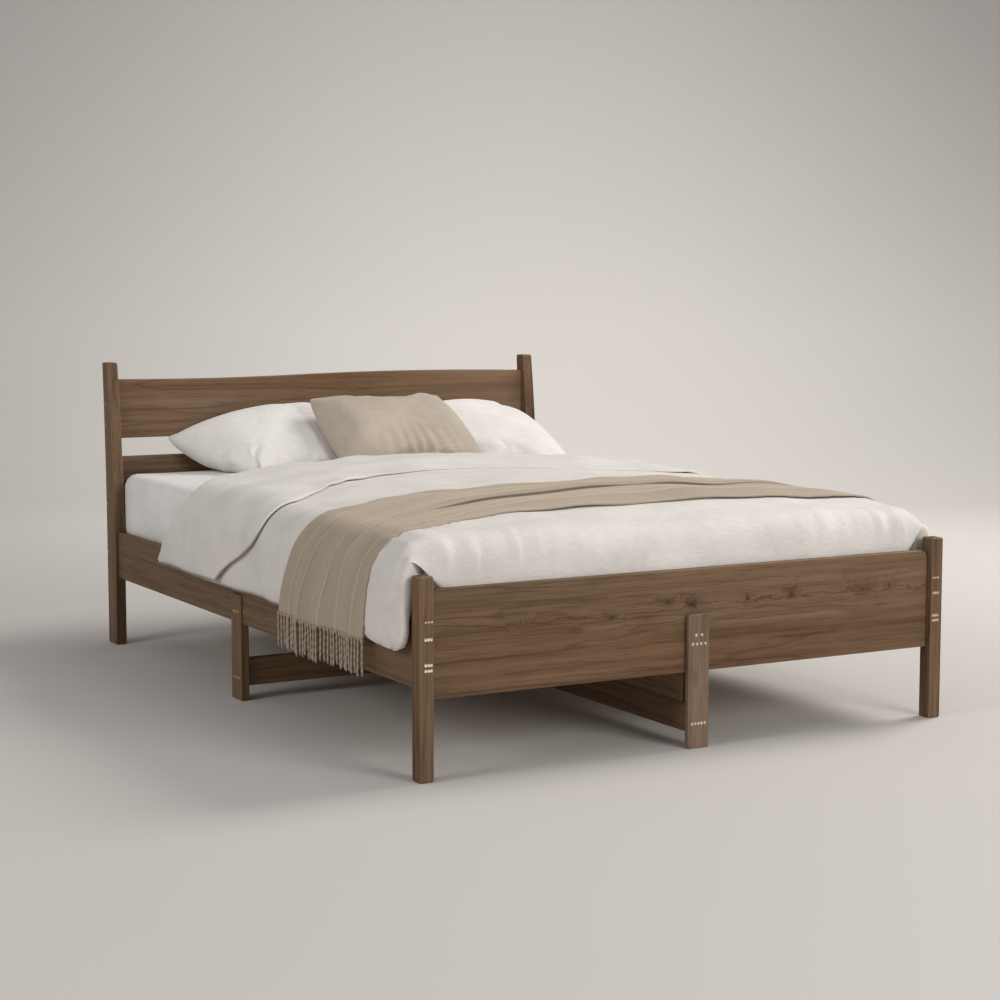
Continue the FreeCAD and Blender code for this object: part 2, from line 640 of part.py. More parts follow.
head_mortises = [head_tenon(f"{label}_mortise", bottom, height, grow="joint_clearance")
                 for label, (bottom, height) in HEAD_BOARDS.items()]
left_and_right(cut("head_post_left", head_post_blank(), *head_mortises, head_screw_holes, bolt_holes))

# Side rails with the housings of the side legs, and the ledges that carry the slats
side_rail = board("side_rail_blank", ("rail_thickness", RAIL_LENGTH, "rail_height"),
                  (RAIL_OUTER, FOOT_POST_REAR, "rail_bottom"))
housing = board(
    "side_leg_housing_tool",
    ("cut_overrun + side_leg_housing", "side_leg_width + 2 * joint_clearance",
     "side_leg_tongue + cut_overrun + joint_clearance"),
    (f"{RAIL_OUTER} - cut_overrun", f"{SIDE_LEG_MIDDLE} - side_leg_width / 2 - joint_clearance",
     "rail_bottom - cut_overrun"), round_size=None, corner="leg_corner", corner_axis="x")
left_and_right(cut("side_rail_left", side_rail, housing, rail_foot_holes, bolt_holes, nut_holes, lap_holes,
               ledge_holes))
ledge = board("slat_ledge_blank", ("ledge_width", f"{RAIL_LENGTH} - 2 * slat_end_gap", "ledge_height"),
              (RAIL_INNER, f"{FOOT_POST_REAR} + slat_end_gap", f"{SLAT_BOTTOM} - ledge_height"))
left_and_right(cut("slat_ledge_left", ledge, ledge_holes, slat_screw_holes))

# Side legs: a tongue let into the rail above, a shoulder under it below
side_leg = board("side_leg_blank", ("side_leg_thickness", "side_leg_width", SIDE_LEG_TOP),
                 (SIDE_LEG_OUTER, f"{SIDE_LEG_MIDDLE} - side_leg_width / 2", "0"),
                 corner="leg_corner", corner_axis="x")
rail_seat = block("side_leg_rail_seat",
                  (f"{RAIL_OUTER} + side_leg_housing", f"{SIDE_LEG_MIDDLE} - side_leg_width", "rail_bottom"),
                  (f"{SIDE_LEG_INNER} + cut_overrun", f"{SIDE_LEG_MIDDLE} + side_leg_width",
                   f"{SIDE_LEG_TOP} + cut_overrun"))
left_and_right(cut("side_leg_left", side_leg, rail_seat, lap_holes, low_holes))

# Middle legs, the two low stretchers halved into each other, and the beam that carries the slats
for label, face, holes in (
        ("foot_center_leg", f"{PANEL_FRONT} - center_leg_thickness", foot_leg_holes),
        ("head_center_leg", HEAD_POST_REAR, head_leg_holes)):
    blank = board(f"{label}_blank",
                  ("center_leg_width", "center_leg_thickness", f"{SLAT_BOTTOM} + center_leg_rise"),
                  ("-center_leg_width / 2", face, "0"), corner="leg_corner")
    node(cut(label, blank, holes))
HALVING = "stretcher_bottom + stretcher_height / 2"
LAP_REACH = "stretcher_thickness / 2 + joint_clearance"
long_blank = board("center_stretcher_blank",
                   ("stretcher_thickness", f"({HEAD_POST_REAR}) - ({PANEL_FRONT})", "stretcher_height"),
                   ("-stretcher_thickness / 2", PANEL_FRONT, "stretcher_bottom"))
long_notch = block("center_stretcher_notch",
                   ("-stretcher_thickness", f"{SIDE_LEG_MIDDLE} - ({LAP_REACH})",
                    "stretcher_bottom - cut_overrun"),
                   ("stretcher_thickness", f"{SIDE_LEG_MIDDLE} + {LAP_REACH}", HALVING))
node(cut("center_stretcher", long_blank, long_notch, foot_leg_holes, head_leg_holes))
cross_blank = board("cross_stretcher_blank",
                    (f"-2 * ({SIDE_LEG_INNER})", "stretcher_thickness", "stretcher_height"),
                    (SIDE_LEG_INNER, f"{SIDE_LEG_MIDDLE} - stretcher_thickness / 2", "stretcher_bottom"))
cross_notch = block("cross_stretcher_notch",
                    (f"-({LAP_REACH})", f"{SIDE_LEG_MIDDLE} - stretcher_thickness", HALVING),
                    (LAP_REACH, f"{SIDE_LEG_MIDDLE} + stretcher_thickness", f"{STRETCHER_TOP} + cut_overrun"))
node(cut("cross_stretcher", cross_blank, cross_notch, low_holes,
         mirrored("cross_stretcher_holes", low_holes)))
beam = board("center_beam_blank",
             ("beam_thickness", f"({HEAD_BOARD_FRONT}) - ({PANEL_REAR})",
              f"{SLAT_BOTTOM} - ({STRETCHER_TOP})"),
             ("-beam_thickness / 2", PANEL_REAR, STRETCHER_TOP))
node(cut("center_beam", beam, foot_leg_holes, head_leg_holes))

# Slats and the two tapes that hold them apart
SLAT_HALF_LENGTH = f"-({RAIL_INNER}) - slat_end_gap"
all_slat_holes = group("all_slat_holes", (slat_screw_holes, mirrored("slat_holes_right", slat_screw_holes)))
for index, middle in enumerate(slat_middles, 1):
    blank = board(f"slat_blank_{index:02d}", (f"2 * ({SLAT_HALF_LENGTH})", "slat_width", "slat_thickness"),
                  (f"-({SLAT_HALF_LENGTH})", f"{middle} - slat_width / 2", SLAT_BOTTOM))
    node(cut(f"slat_{index:02d}", blank, all_slat_holes))
tape = board("slat_tape_left", ("tape_width", f"{SLAT_SPAN} + slat_width", "tape_thickness"),
             ("-tape_offset - tape_width / 2", f"{FOOT_POST_REAR} + slat_margin", "slat_top"),
             round_size=None)
left_and_right(tape)

# Mattress and fitted sheet
MATTRESS_BOTTOM = "slat_top + tape_thickness + fabric_clearance"
MATTRESS_FOOT = f"{PANEL_REAR} + mattress_foot_gap"
MATTRESS_SIDE = f"{RAIL_INNER} + mattress_side_gap"
MATTRESS_LENGTH = f"({HEAD_BOARD_FRONT}) - mattress_head_gap - ({MATTRESS_FOOT})"


def mattress_form(label, grow, bottom):
    """A mattress-shaped block, grown on all sides but the bottom."""
    body = doc.addObject("PartDesign::Body", label)
    outline = new_sketch(body, "XY_Plane", f"{label}_outline")
    width, length = f"-2 * ({MATTRESS_SIDE}) + 2 * ({grow})", f"{MATTRESS_LENGTH} + 2 * ({grow})"
    polygon(outline, ((None, None), (width, None), (width, length), (None, length)))
    pad = body.newObject("PartDesign::Pad", f"{label}_pad")
    pad.Profile = outline
    bind(pad, Length=f"{MATTRESS_BOTTOM} + mattress_thickness + ({grow}) - ({bottom})")
    doc.recompute()
    upright = [f"Edge{index}" for index, edge in enumerate(pad.Shape.Edges, 1)
               if edge.BoundBox.ZLength > edge.Length / 2]
    corners = body.newObject("PartDesign::Fillet", f"{label}_corners")
    corners.Base = (pad, upright)
    bind(corners, Radius=f"mattress_corner + ({grow})")
    doc.recompute()
    rounded = round_rim(body, corners, f"{label}_upper_edge", f"mattress_edge + ({grow})", True)
    if grow == "0":
        rounded = round_rim(body, rounded, f"{label}_lower_edge", "mattress_lower_edge", False)
    body.Tip = rounded
    place(body, f"{MATTRESS_SIDE} - ({grow})", f"{MATTRESS_FOOT} - ({grow})", bottom)
    return body


def round_rim(body, base, label, radius, upper):
    """A fillet round the upper or the lower rim of a block."""
    middle = base.Shape.BoundBox.Center.z
    rim = [f"Edge{index}" for index, edge in enumerate(base.Shape.Edges, 1)
           if edge.BoundBox.ZLength < edge.Length / 2 and (edge.BoundBox.ZMin > middle) == upper]
    fillet = body.newObject("PartDesign::Fillet", label)
    fillet.Base = (base, rim)
    bind(fillet, Radius=radius)
    doc.recompute()
    return fillet


node(mattress_form("mattress", "0", MATTRESS_BOTTOM))
SHEET_HEM = f"{MATTRESS_BOTTOM} + mattress_lower_edge + sheet_tuck"
sheet_outer = mattress_form("fitted_sheet_outer", "fabric_clearance + sheet_thickness", SHEET_HEM)
sheet_inner = mattress_form("fitted_sheet_inner", "fabric_clearance", f"{SHEET_HEM} - cut_overrun")
node(cut("fitted_sheet", sheet_outer, sheet_inner))


# Bedding: closed solids lofted through lines and arcs

def soft_piece(label, shape):
    item = doc.addObject("Part::Feature", label)
    item.Shape = shape
    return node(item)


def arc(first, middle, last):
    return Part.Arc(FreeCAD.Vector(*first), FreeCAD.Vector(*middle), FreeCAD.Vector(*last)).toShape()


def quarter(y, side, half, top, radius, upward):
    """A quarter bend at one upper corner of a drape, from the side to the top or back."""
    reach = radius * math.sqrt(0.5)
    start = (side * half, y, top - radius)
    middle = (side * (half - radius + reach), y, top - radius + reach)
    end = (side * (half - radius), y, top)
    return arc(start, middle, end) if upward else arc(end, middle, start)


def drape_section(y, half, top, radius, crown, hem, thickness, side, inner_crown=0):
    """A section across the bed of a cloth that lies on top and hangs down both sides."""
    inner_half, inner_top, inner_radius = half - side, top - thickness, radius - side
    flat, inner_flat = half - radius, inner_half - inner_radius

    def line(first, second):
        return Part.makeLine(FreeCAD.Vector(*first), FreeCAD.Vector(*second))

    across = line((inner_flat, y, inner_top), (-inner_flat, y, inner_top))
    if inner_crown:
        across = arc((inner_flat, y, inner_top), (0, y, inner_top + inner_crown), (-inner_flat, y, inner_top))
    return Part.Wire([
        line((-half, y, hem), (-half, y, top - radius)),
        quarter(y, -1, half, top, radius, True),
        arc((-flat, y, top), (0, y, top + crown), (flat, y, top)),
        quarter(y, 1, half, top, radius, False),
        line((half, y, top - radius), (half, y, hem)),
        line((half, y, hem), (inner_half, y, hem)),
        line((inner_half, y, hem), (inner_half, y, inner_top - inner_radius)),
        quarter(y, 1, inner_half, inner_top, inner_radius, True),
        across,
        quarter(y, -1, inner_half, inner_top, inner_radius, False),
        line((-inner_half, y, inner_top - inner_radius), (-inner_half, y, hem)),
        line((-inner_half, y, hem), (-half, y, hem))])


def ruled(sections):
    return Part.makeLoft(sections, True, True)


foot_face = -sizes.bed_length / 2
panel_rear = foot_face + sizes.foot_panel_setback + sizes.foot_panel_thickness
sheet_reach = sizes.fabric_clearance + sizes.sheet_thickness
mattress_foot = panel_rear + sizes.mattress_foot_gap
mattress_bottom = sizes.slat_top + sizes.tape_thickness + sizes.fabric_clearance
sheet_top = mattress_bottom + sizes.mattress_thickness + sheet_reach
head_board_front = sizes.bed_length / 2 - sizes.rake_back - sizes.head_board_thickness
head_inner = sizes.bed_width / 2 - sizes.head_post_width
pillow_room = 2 * head_inner - sizes.pillow_left_margin - sizes.pillow_right_margin
pillow_width = (pillow_room - sizes.pillow_gap) / 2
duvet_inner_half = sizes.bed_width / 2 - sizes.rail_inset + sizes.side_leg_proud + sizes.duvet_rail_gap
duvet_half = duvet_inner_half + sizes.duvet_side
duvet_bottom = sheet_top + sizes.fabric_clearance
duvet_top = duvet_bottom + sizes.duvet_thickness
throw_foot = foot_face + sizes.throw_from_foot
throw_head = throw_foot + sizes.throw_width


def duvet_section(y, lift=0, wave=0):
    return drape_section(y, duvet_half + wave, duvet_top + lift, sizes.duvet_edge, sizes.duvet_crown,
                         sizes.duvet_hem, sizes.duvet_thickness + lift, sizes.duvet_side + wave)


def duvet():
    """The duvet: tucked in at the foot, turned back at the head, in folds along its hanging sides."""
    start = foot_face + sizes.foot_post_depth + sizes.duvet_rail_gap
    end = head_board_front - sizes.duvet_head_gap
    turned_back = end - sizes.turn_down
    step = sizes.turn_down_thickness
    drop = sizes.duvet_end_drop
    sections = [duvet_section(start, -drop), duvet_section(start + drop, -drop / 4),
                duvet_section(start + 2 * drop), duvet_section(throw_head)]
    for index in range(1, DUVET_WAVES):
        share = index / DUVET_WAVES
        wave = sizes.duvet_wave * (index % 2)
        sections.append(duvet_section(throw_head + share * (turned_back - throw_head), wave=wave))
    sections += [duvet_section(turned_back), duvet_section(turned_back + step / 2, step),
                 duvet_section(end - 2 * drop, step, sizes.duvet_wave),
                 duvet_section(end - drop / 2, step / 2), duvet_section(end, -drop)]
    body = ruled(sections)
    tuck_inner = mattress_foot - sheet_reach - sizes.fabric_clearance
    half = duvet_half - sizes.duvet_edge
    low, high = sizes.foot_tuck_bottom, duvet_bottom + sizes.duvet_thickness / 2 - drop / 2
    tucked = Part.makeBox(2 * half, sizes.foot_tuck, high - low,
                          FreeCAD.Vector(-half, tuck_inner - sizes.foot_tuck, low))
    return body.fuse(tucked)


def throw():
    """The folded throw across the duvet, its folds running down both sides."""
    gap = sizes.fabric_clearance
    sections = []
    for index in range(2 * THROW_FOLDS + 1):
        fold = sizes.throw_thickness + sizes.throw_fold * (index % 2)
        sections.append(drape_section(
            throw_foot + sizes.throw_width * index / (2 * THROW_FOLDS), duvet_half + gap + fold,
            duvet_top + gap + fold, sizes.duvet_edge + gap + fold, sizes.duvet_crown, sizes.throw_hem,
            fold, fold, inner_crown=sizes.duvet_crown))
    return ruled(sections)


def pillow_form(width, depth, thickness):
    """A pillow with a crown, pinched seams and long sides that pull in between the corners."""
    drawn_share = 0.07
    sections = []
    for step in spread(PILLOW_STATIONS + 1):
        bulge = max(1 - step ** 4, 0)
        half = depth / 2 * (1 - drawn_share * (1 - step ** 2))
        swell = sizes.seam_thickness / 2 + (thickness - sizes.seam_thickness) / 2 * bulge
        x = step * width / 2
        sections.append(Part.Wire([arc((x, -half, 0), (x, 0, swell), (x, half, 0)),
                                   arc((x, half, 0), (x, 0, -swell), (x, -half, 0))]))
    return ruled(sections)


def leaned(shape, tilt, x):
    """A pillow tilted back and set down on the sheet."""
    shape.Placement = FreeCAD.Placement(FreeCAD.Vector(x, 0, 0), FreeCAD.Rotation(X_AXIS, tilt))
    shape.translate(FreeCAD.Vector(0, 0, sheet_top + sizes.fabric_clearance - shape.BoundBox.ZMin))
    return shape


def pillow(offset):
    """A pillow that leans on the upper headboard board."""
    shape = leaned(pillow_form(pillow_width, sizes.pillow_depth, sizes.pillow_thickness),
                   sizes.pillow_tilt, offset)
    shape.translate(FreeCAD.Vector(0, head_board_front - sizes.fabric_clearance - shape.BoundBox.YMax, 0))
    return shape


def cushion(pillows):
    """The small cushion, moved towards the head until it leans on the pillows."""
    shape = leaned(pillow_form(sizes.cushion_width, sizes.cushion_height, sizes.cushion_thickness),
                   sizes.cushion_tilt, sizes.cushion_offset)
    nearest = min(item.BoundBox.YMin for item in pillows)
    shape.translate(FreeCAD.Vector(0, nearest - shape.BoundBox.YMax, 0))
    room = min(shape.distToShape(item)[0] for item in pillows) - sizes.fabric_clearance
    while room > sizes.fabric_clearance / 2:
        shape.translate(FreeCAD.Vector(0, room, 0))
        room = min(shape.distToShape(item)[0] for item in pillows) - sizes.fabric_clearance
    return shape


soft_piece("duvet", duvet())
soft_piece("throw", throw())
pillows = [pillow(sizes.pillow_left_margin + pillow_width / 2 - head_inner),
           pillow(head_inner - sizes.pillow_right_margin - pillow_width / 2)]
soft_piece("pillow_left", pillows[0])
soft_piece("pillow_right", pillows[1])
soft_piece("cushion", cushion(pillows))

# Every object and every sub-part is checked before anything is written
doc.recompute()
failed = [item.Name for item in doc.Objects if {"Invalid", "Error"} & set(item.State)]
failed += [item.Label for item in nodes if item.Shape.isNull() or not item.Shape.isValid()]
if failed:
    raise RuntimeError(f"failed: {failed}")
os.makedirs("parts", exist_ok=True)
for item in nodes:
    solids = item.Shape.Solids
    shape = solids[0] if len(solids) == 1 else Part.makeCompound(solids)
    shape.exportStep(f"parts/{item.Label}.step")
    box = shape.BoundBox
    print(f"{item.Label}: {len(solids)} solids, x {box.XMin:.1f} {box.XMax:.1f}, "
          f"y {box.YMin:.1f} {box.YMax:.1f}, z {box.ZMin:.1f} {box.ZMax:.1f}")
print(f"{len(nodes)} nodes")
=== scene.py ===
import math

import bmesh
import bpy
import numpy as np
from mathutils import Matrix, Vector


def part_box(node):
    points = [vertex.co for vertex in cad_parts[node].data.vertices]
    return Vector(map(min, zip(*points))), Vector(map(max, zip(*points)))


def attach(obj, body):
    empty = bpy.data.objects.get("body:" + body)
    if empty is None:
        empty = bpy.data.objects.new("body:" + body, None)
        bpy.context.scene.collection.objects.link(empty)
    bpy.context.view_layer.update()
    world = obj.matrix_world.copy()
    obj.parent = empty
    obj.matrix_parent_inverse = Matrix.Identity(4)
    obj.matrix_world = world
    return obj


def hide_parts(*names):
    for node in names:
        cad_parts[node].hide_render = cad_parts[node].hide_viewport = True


# The dressed double bed, in metres. +Z is up, +Y points to the head, +X to the right seen from the foot.
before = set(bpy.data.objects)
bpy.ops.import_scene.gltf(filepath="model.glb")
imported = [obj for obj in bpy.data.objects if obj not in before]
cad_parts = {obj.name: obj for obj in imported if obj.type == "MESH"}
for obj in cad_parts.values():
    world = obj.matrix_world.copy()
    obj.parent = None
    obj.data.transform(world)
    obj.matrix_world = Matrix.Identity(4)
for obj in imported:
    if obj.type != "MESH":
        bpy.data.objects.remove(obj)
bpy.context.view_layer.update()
scene = bpy.context.scene
scene.view_settings.view_transform = "Standard"


def span(node):
    """A node's lowest and highest corner as arrays."""
    low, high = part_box(node)
    return np.array(low), np.array(high)


mattress_low, mattress_high = span("mattress")
sheet_low, sheet_high = span("fitted_sheet")
duvet_low, _ = span("duvet")
throw_low, throw_high = span("throw")
side_leg_low, _ = span("side_leg_left")


# Shader graphs

class Graph:
    """A material and its nodes; values given to a node are constants or sockets to link."""

    def __init__(self, name, roughness, specular=0.3, sheen=0.0):
        self.material = bpy.data.materials.new(name)
        self.material.use_nodes = True
        self.tree = self.material.node_tree
        self.shader = self.tree.nodes["Principled BSDF"]
        self.shader.inputs["Roughness"].default_value = roughness
        self.shader.inputs["Specular IOR Level"].default_value = specular
        self.shader.inputs["Sheen Weight"].default_value = sheen

    def add(self, kind, values=(), **settings):
        node = self.tree.nodes.new(f"ShaderNode{kind}")
        for name, value in settings.items():
            setattr(node, name, value)
        for key, value in dict(values).items():
            if isinstance(value, bpy.types.NodeSocket):
                self.tree.links.new(value, node.inputs[key])
            else:
                node.inputs[key].default_value = value
        return node

    def math(self, operation, *values):
        return self.add("Math", dict(enumerate(values)), operation=operation).outputs[0]

    def noise(self, coords, detail, roughness=0.55):
        values = {"Vector": coords, "Scale": 1.0, "Detail": detail, "Roughness": roughness}
        return self.add("TexNoise", values).outputs["Fac"]

    def axes(self):
        """The object's own x, y and z."""
        return self.add("SeparateXYZ", {0: self.add("TexCoord").outputs["Object"]}).outputs

    def place(self, scale, vary=0.0):
        """The object's own coordinates, stretched, and shifted from object to object by vary."""
        coords = self.add("TexCoord").outputs["Object"]
        if vary:
            shift = self.math("MULTIPLY", self.add("ObjectInfo").outputs["Random"], vary)
            coords = self.add("VectorMath", {0: coords, 1: shift}, operation="ADD").outputs[0]
        return self.add("Mapping", {"Vector": coords, "Scale": scale}).outputs["Vector"]

    def ramp(self, factor, stops):
        node = self.add("ValToRGB", {"Fac": factor})
        elements = node.color_ramp.elements
        while len(elements) < len(stops):
            elements.new(0.5)
        for element, (position, color) in zip(elements, stops):
            element.position = position
            element.color = (*color, 1)
        return node.outputs["Color"]

    def mix(self, factor, first, second, blend="MIX"):
        node = self.add("Mix", data_type="RGBA", blend_type=blend)
        for index, value in ((0, factor), (6, first), (7, second)):
            if isinstance(value, bpy.types.NodeSocket):
                self.tree.links.new(value, node.inputs[index])
            else:
                node.inputs[index].default_value = value if index == 0 else (*value, 1)
        return node.outputs[2]

    def color(self, socket):
        self.tree.links.new(socket, self.shader.inputs["Base Color"])

    def rough(self, socket):
        self.tree.links.new(socket, self.shader.inputs["Roughness"])

    def bump(self, height, strength, distance, under=None):
        values = {"Height": height, "Strength": strength, "Distance": distance}
        if under:
            values["Normal"] = under
        node = self.add("Bump", values)
        self.tree.links.new(node.outputs["Normal"], self.shader.inputs["Normal"])
        return node.outputs["Normal"]


# Wood

WALNUT = ((0.060, 0.031, 0.015), (0.152, 0.090, 0.048), (0.230, 0.150, 0.093))
PALE_WALNUT = ((0.105, 0.066, 0.040), (0.195, 0.136, 0.096), (0.29, 0.215, 0.16))
PINE = ((0.42, 0.27, 0.14), (0.55, 0.37, 0.20), (0.66, 0.47, 0.28))
PALE_PEG = ((0.55, 0.42, 0.28), (0.66, 0.52, 0.37), (0.76, 0.62, 0.46))
KNOT_RED = (0.040, 0.015, 0.007)
WARM_TINT = (1.0, 0.80, 0.66)
PORE_SHADE = (0.55, 0.52, 0.50)
WHITE = (1, 1, 1)
EDGE_WEAR = 0.45
# Knots as x, z and radius
FOOTBOARD_KNOTS = (
    (-0.48, 0.339, 0.006), (-0.24, 0.331, 0.011), (-0.08, 0.352, 0.008), (-0.01, 0.344, 0.010),
    (0.15, 0.342, 0.007), (0.28, 0.347, 0.008), (0.50, 0.343, 0.010), (0.58, 0.345, 0.006),
)
KNOT_STRETCH = 1.6
RAGGED_SCALE, RAGGED_SHIFT = 55.0, (0.05, 0, 0.03)
CRACK_SWAY, CRACK_HALF_WIDTH = 0.07, (0.0006, 0.003)
# Where painted light starts and is full, along x, making a board paler towards its right end
PAINTED_LIGHT_START, PAINTED_LIGHT_END = 0.1, 0.62


def edge_mask(graph):
    """1 on the eased edges of a square board, 0 on its flat faces."""
    normal = graph.add("NewGeometry").outputs["Normal"]
    size = graph.add("VectorMath", {0: normal}, operation="ABSOLUTE").outputs[0]
    parts = graph.add("SeparateXYZ", {0: size}).outputs
    largest = graph.math("MAXIMUM", graph.math("MAXIMUM", parts[0], parts[1]), parts[2])
    values = {"Value": graph.math("SUBTRACT", 1.0, largest), "From Min": 0.03, "From Max": 0.22}
    return graph.add("MapRange", values).outputs[0]


def knot_distance(graph, knots):
    """Squared distance to the closest knot of a board across the bed, in ragged knot radii."""
    coords = graph.add("TexCoord").outputs["Object"]
    values = {"Vector": coords, "Scale": RAGGED_SCALE, "Detail": 3.0}
    ragged = graph.add("TexNoise", values).outputs["Color"]
    shift = graph.add("VectorMath", {0: ragged, 1: (0.5, 0.5, 0.5)}, operation="SUBTRACT").outputs[0]
    shift = graph.add("VectorMath", {0: shift, 1: RAGGED_SHIFT}, operation="MULTIPLY").outputs[0]
    parts = graph.add("SeparateXYZ", {0: graph.add("VectorMath", {0: coords, 1: shift}).outputs[0]}).outputs
    nearest = 1000.0
    for x, z, radius in knots:
        along = graph.math("DIVIDE", graph.math("SUBTRACT", parts[0], x), KNOT_STRETCH * radius)
        over = graph.math("DIVIDE", graph.math("SUBTRACT", parts[2], z), radius)
        squares = [graph.math("MULTIPLY", part, part) for part in (along, over)]
        nearest = graph.math("MINIMUM", nearest, graph.math("ADD", *squares))
    return nearest


def nearness(graph, squared, spread):
    """1 at the heart of a knot, falling to 0 over about spread radii."""
    return graph.math("DIVIDE", 1.0, graph.math("ADD", 1.0, graph.math("DIVIDE", squared, spread * spread)))


def crack(graph, level, wander):
    """A dark thread that runs along a board at about one level, broken here and there."""
    height = graph.axes()[2]
    sway = graph.math("MULTIPLY", graph.math("SUBTRACT", wander, 0.5), CRACK_SWAY)
    off = graph.math("ABSOLUTE", graph.math("SUBTRACT", height, graph.math("ADD", sway, level)))
    inner, outer = CRACK_HALF_WIDTH
    values = {"Value": off, "From Min": inner, "From Max": outer, "To Min": 1.0, "To Max": 0.0}
    thread = graph.add("MapRange", values).outputs[0]
    return graph.math("MULTIPLY", thread, graph.math("MULTIPLY", wander, 1.3))


def wood(name, grain, tones, roughness, knots=(), painted_right_light=0.0):
    """Long-grained wood: broad tone, streaks, dark veins and pores along one axis, and paler worn edges.

    A board across the bed can have knots, and painted light that makes it paler towards its right end."""
    graph = Graph(name, roughness, specular=0.2)

    def grained(along, over, vary):
        """Coordinates drawn out along the grain."""
        return graph.place(tuple(along if axis == grain else over for axis in "xyz"), vary=vary)

    bend = graph.math("MULTIPLY", graph.noise(grained(1.1, 5, 4.0), 2.0), 0.7)
    if knots:
        squared = knot_distance(graph, knots)
        bend = graph.math("ADD", bend, graph.math("MULTIPLY", nearness(graph, squared, 2.5), 0.5))

    def bent(along, over, vary):
        values = {0: grained(along, over, vary), 1: bend}
        return graph.add("VectorMath", values, operation="ADD").outputs[0]

    broad = graph.noise(bent(0.6, 9, 7.0), 3.0)
    streaks = graph.noise(bent(1.2, 58, 5.0), 6.0, 0.6)
    pores = graph.noise(grained(12, 420, 3.0), 2.0, 0.5)
    vein = graph.math("ABSOLUTE", graph.math("SUBTRACT", graph.noise(bent(0.7, 17, 6.0), 2.0), 0.5))
    veins = graph.add("MapRange", {"Value": vein, "From Min": 0.0, "From Max": 0.028}).outputs[0]
    tone = graph.math("ADD", graph.math("MULTIPLY", broad, 0.4), graph.math("MULTIPLY", streaks, 0.6))
    color = graph.ramp(tone, ((0.30, tones[0]), (0.47, tones[1]), (0.72, tones[2])))
    bands = graph.noise(bent(0.8, 6, 9.0), 2.0)
    values = {"Value": bands, "From Min": 0.48, "From Max": 0.75, "To Max": 0.6}
    color = graph.mix(graph.add("MapRange", values).outputs[0], color, WARM_TINT, "MULTIPLY")
    dark = tuple(part / whole for part, whole in zip(tones[0], tones[1]))
    color = graph.mix(0.45, color, graph.ramp(veins, ((0.0, dark), (1.0, WHITE))), "MULTIPLY")
    color = graph.mix(0.6, color, graph.ramp(pores, ((0.34, PORE_SHADE), (0.48, WHITE))), "MULTIPLY")
    # Painted light: the board grows paler towards its right end, where more light falls on it
    if painted_right_light:
        values = {"Value": graph.axes()[0], "From Min": PAINTED_LIGHT_START, "From Max": PAINTED_LIGHT_END,
                  "To Max": painted_right_light}
        pale = graph.math("MULTIPLY", graph.add("MapRange", values).outputs[0], broad)
        color = graph.mix(pale, color, tuple(1.25 * part for part in tones[2]))
    if knots:
        wander = graph.noise(graph.place((9, 9, 45)), 4.0)
        heart = graph.math("POWER", nearness(graph, squared, 1.0), 2.0)
        marks = graph.math("MAXIMUM", heart, crack(graph, knots[0][1], wander))
        color = graph.mix(graph.math("MULTIPLY", marks, 0.85), color, KNOT_RED)
    worn = graph.math("MULTIPLY", edge_mask(graph), graph.math("MULTIPLY", streaks, EDGE_WEAR))
    graph.color(graph.mix(worn, color, tuple(1.6 * part for part in tones[2])))
    graph.rough(graph.math("ADD", roughness - 0.12, graph.math("MULTIPLY", streaks, 0.24)))
    under = graph.bump(streaks, 0.2, 0.001)
    graph.bump(pores, 0.15, 0.0005, under)
    return graph.material


def metal(name, color, roughness):
    """Drawn metal with fine turning marks and a little tarnish."""
    graph = Graph(name, roughness, specular=0.5)
    graph.shader.inputs["Metallic"].default_value = 1.0
    tarnish = graph.noise(graph.place((160, 160, 160)), 4.0)
    graph.color(graph.ramp(tarnish, ((0.35, tuple(0.72 * part for part in color)), (0.6, color))))
    marks = graph.noise(graph.place((900, 900, 900)), 2.0)
    graph.rough(graph.math("ADD", roughness - 0.1, graph.math("MULTIPLY", marks, 0.2)))
    graph.bump(marks, 0.1, 0.0002)
    return graph.material


BRASS = (0.87, 0.74, 0.55)
ZINC = (0.56, 0.56, 0.55)
FRAME_WOODS = {
    "x": ("headboard_lower_board", "head_end_rail", "cross_stretcher"),
    "y": ("side_rail_left", "side_rail_right", "center_stretcher", "center_beam"),
    "z": ("head_post_left", "head_post_right", "foot_post_left", "foot_post_right", "side_leg_left",
          "side_leg_right"),
}


def dress(names, material):
    for name in names:
        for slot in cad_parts[name].material_slots:
            slot.material = material


for grain, names in FRAME_WOODS.items():
    dress(names, wood(f"walnut_{grain}", grain, WALNUT, 0.5))
dress(["foot_center_leg", "head_center_leg"], wood("walnut_pale", "z", PALE_WALNUT, 0.5))
# The footboard and headboard carry painted light, paler towards their right ends
dress(["footboard_panel"], wood("walnut_footboard", "x", WALNUT, 0.5, FOOTBOARD_KNOTS, painted_right_light=0.35))
dress(["headboard_upper_board"], wood("walnut_headboard", "x", WALNUT, 0.5, painted_right_light=0.8))
node_names = list(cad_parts)
dress([name for name in node_names if name.startswith(("slat_0", "slat_1"))],
      wood("pine_slats", "x", PINE, 0.62))
dress(["slat_ledge_left", "slat_ledge_right"], wood("pine_ledges", "y", PINE, 0.62))
dress(["tenon_pegs"], wood("pale_pegs", "y", PALE_PEG, 0.6))
dress([name for name in node_names if name.endswith("_screws")], metal("pale_brass", BRASS, 0.38))
dress(["rail_bolts", "barrel_nuts"], metal("zinc_steel", ZINC, 0.36))


# Cloth materials

def weave(graph, pitch):
    """Threads that cross at a right angle, whichever way the cloth faces."""
    turns = math.tau / pitch
    parts = graph.axes()
    threads = [graph.math("SINE", graph.math("MULTIPLY", part, turns)) for part in parts]
    return graph.math("ADD", graph.math("MULTIPLY", threads[0], threads[1]), threads[2])


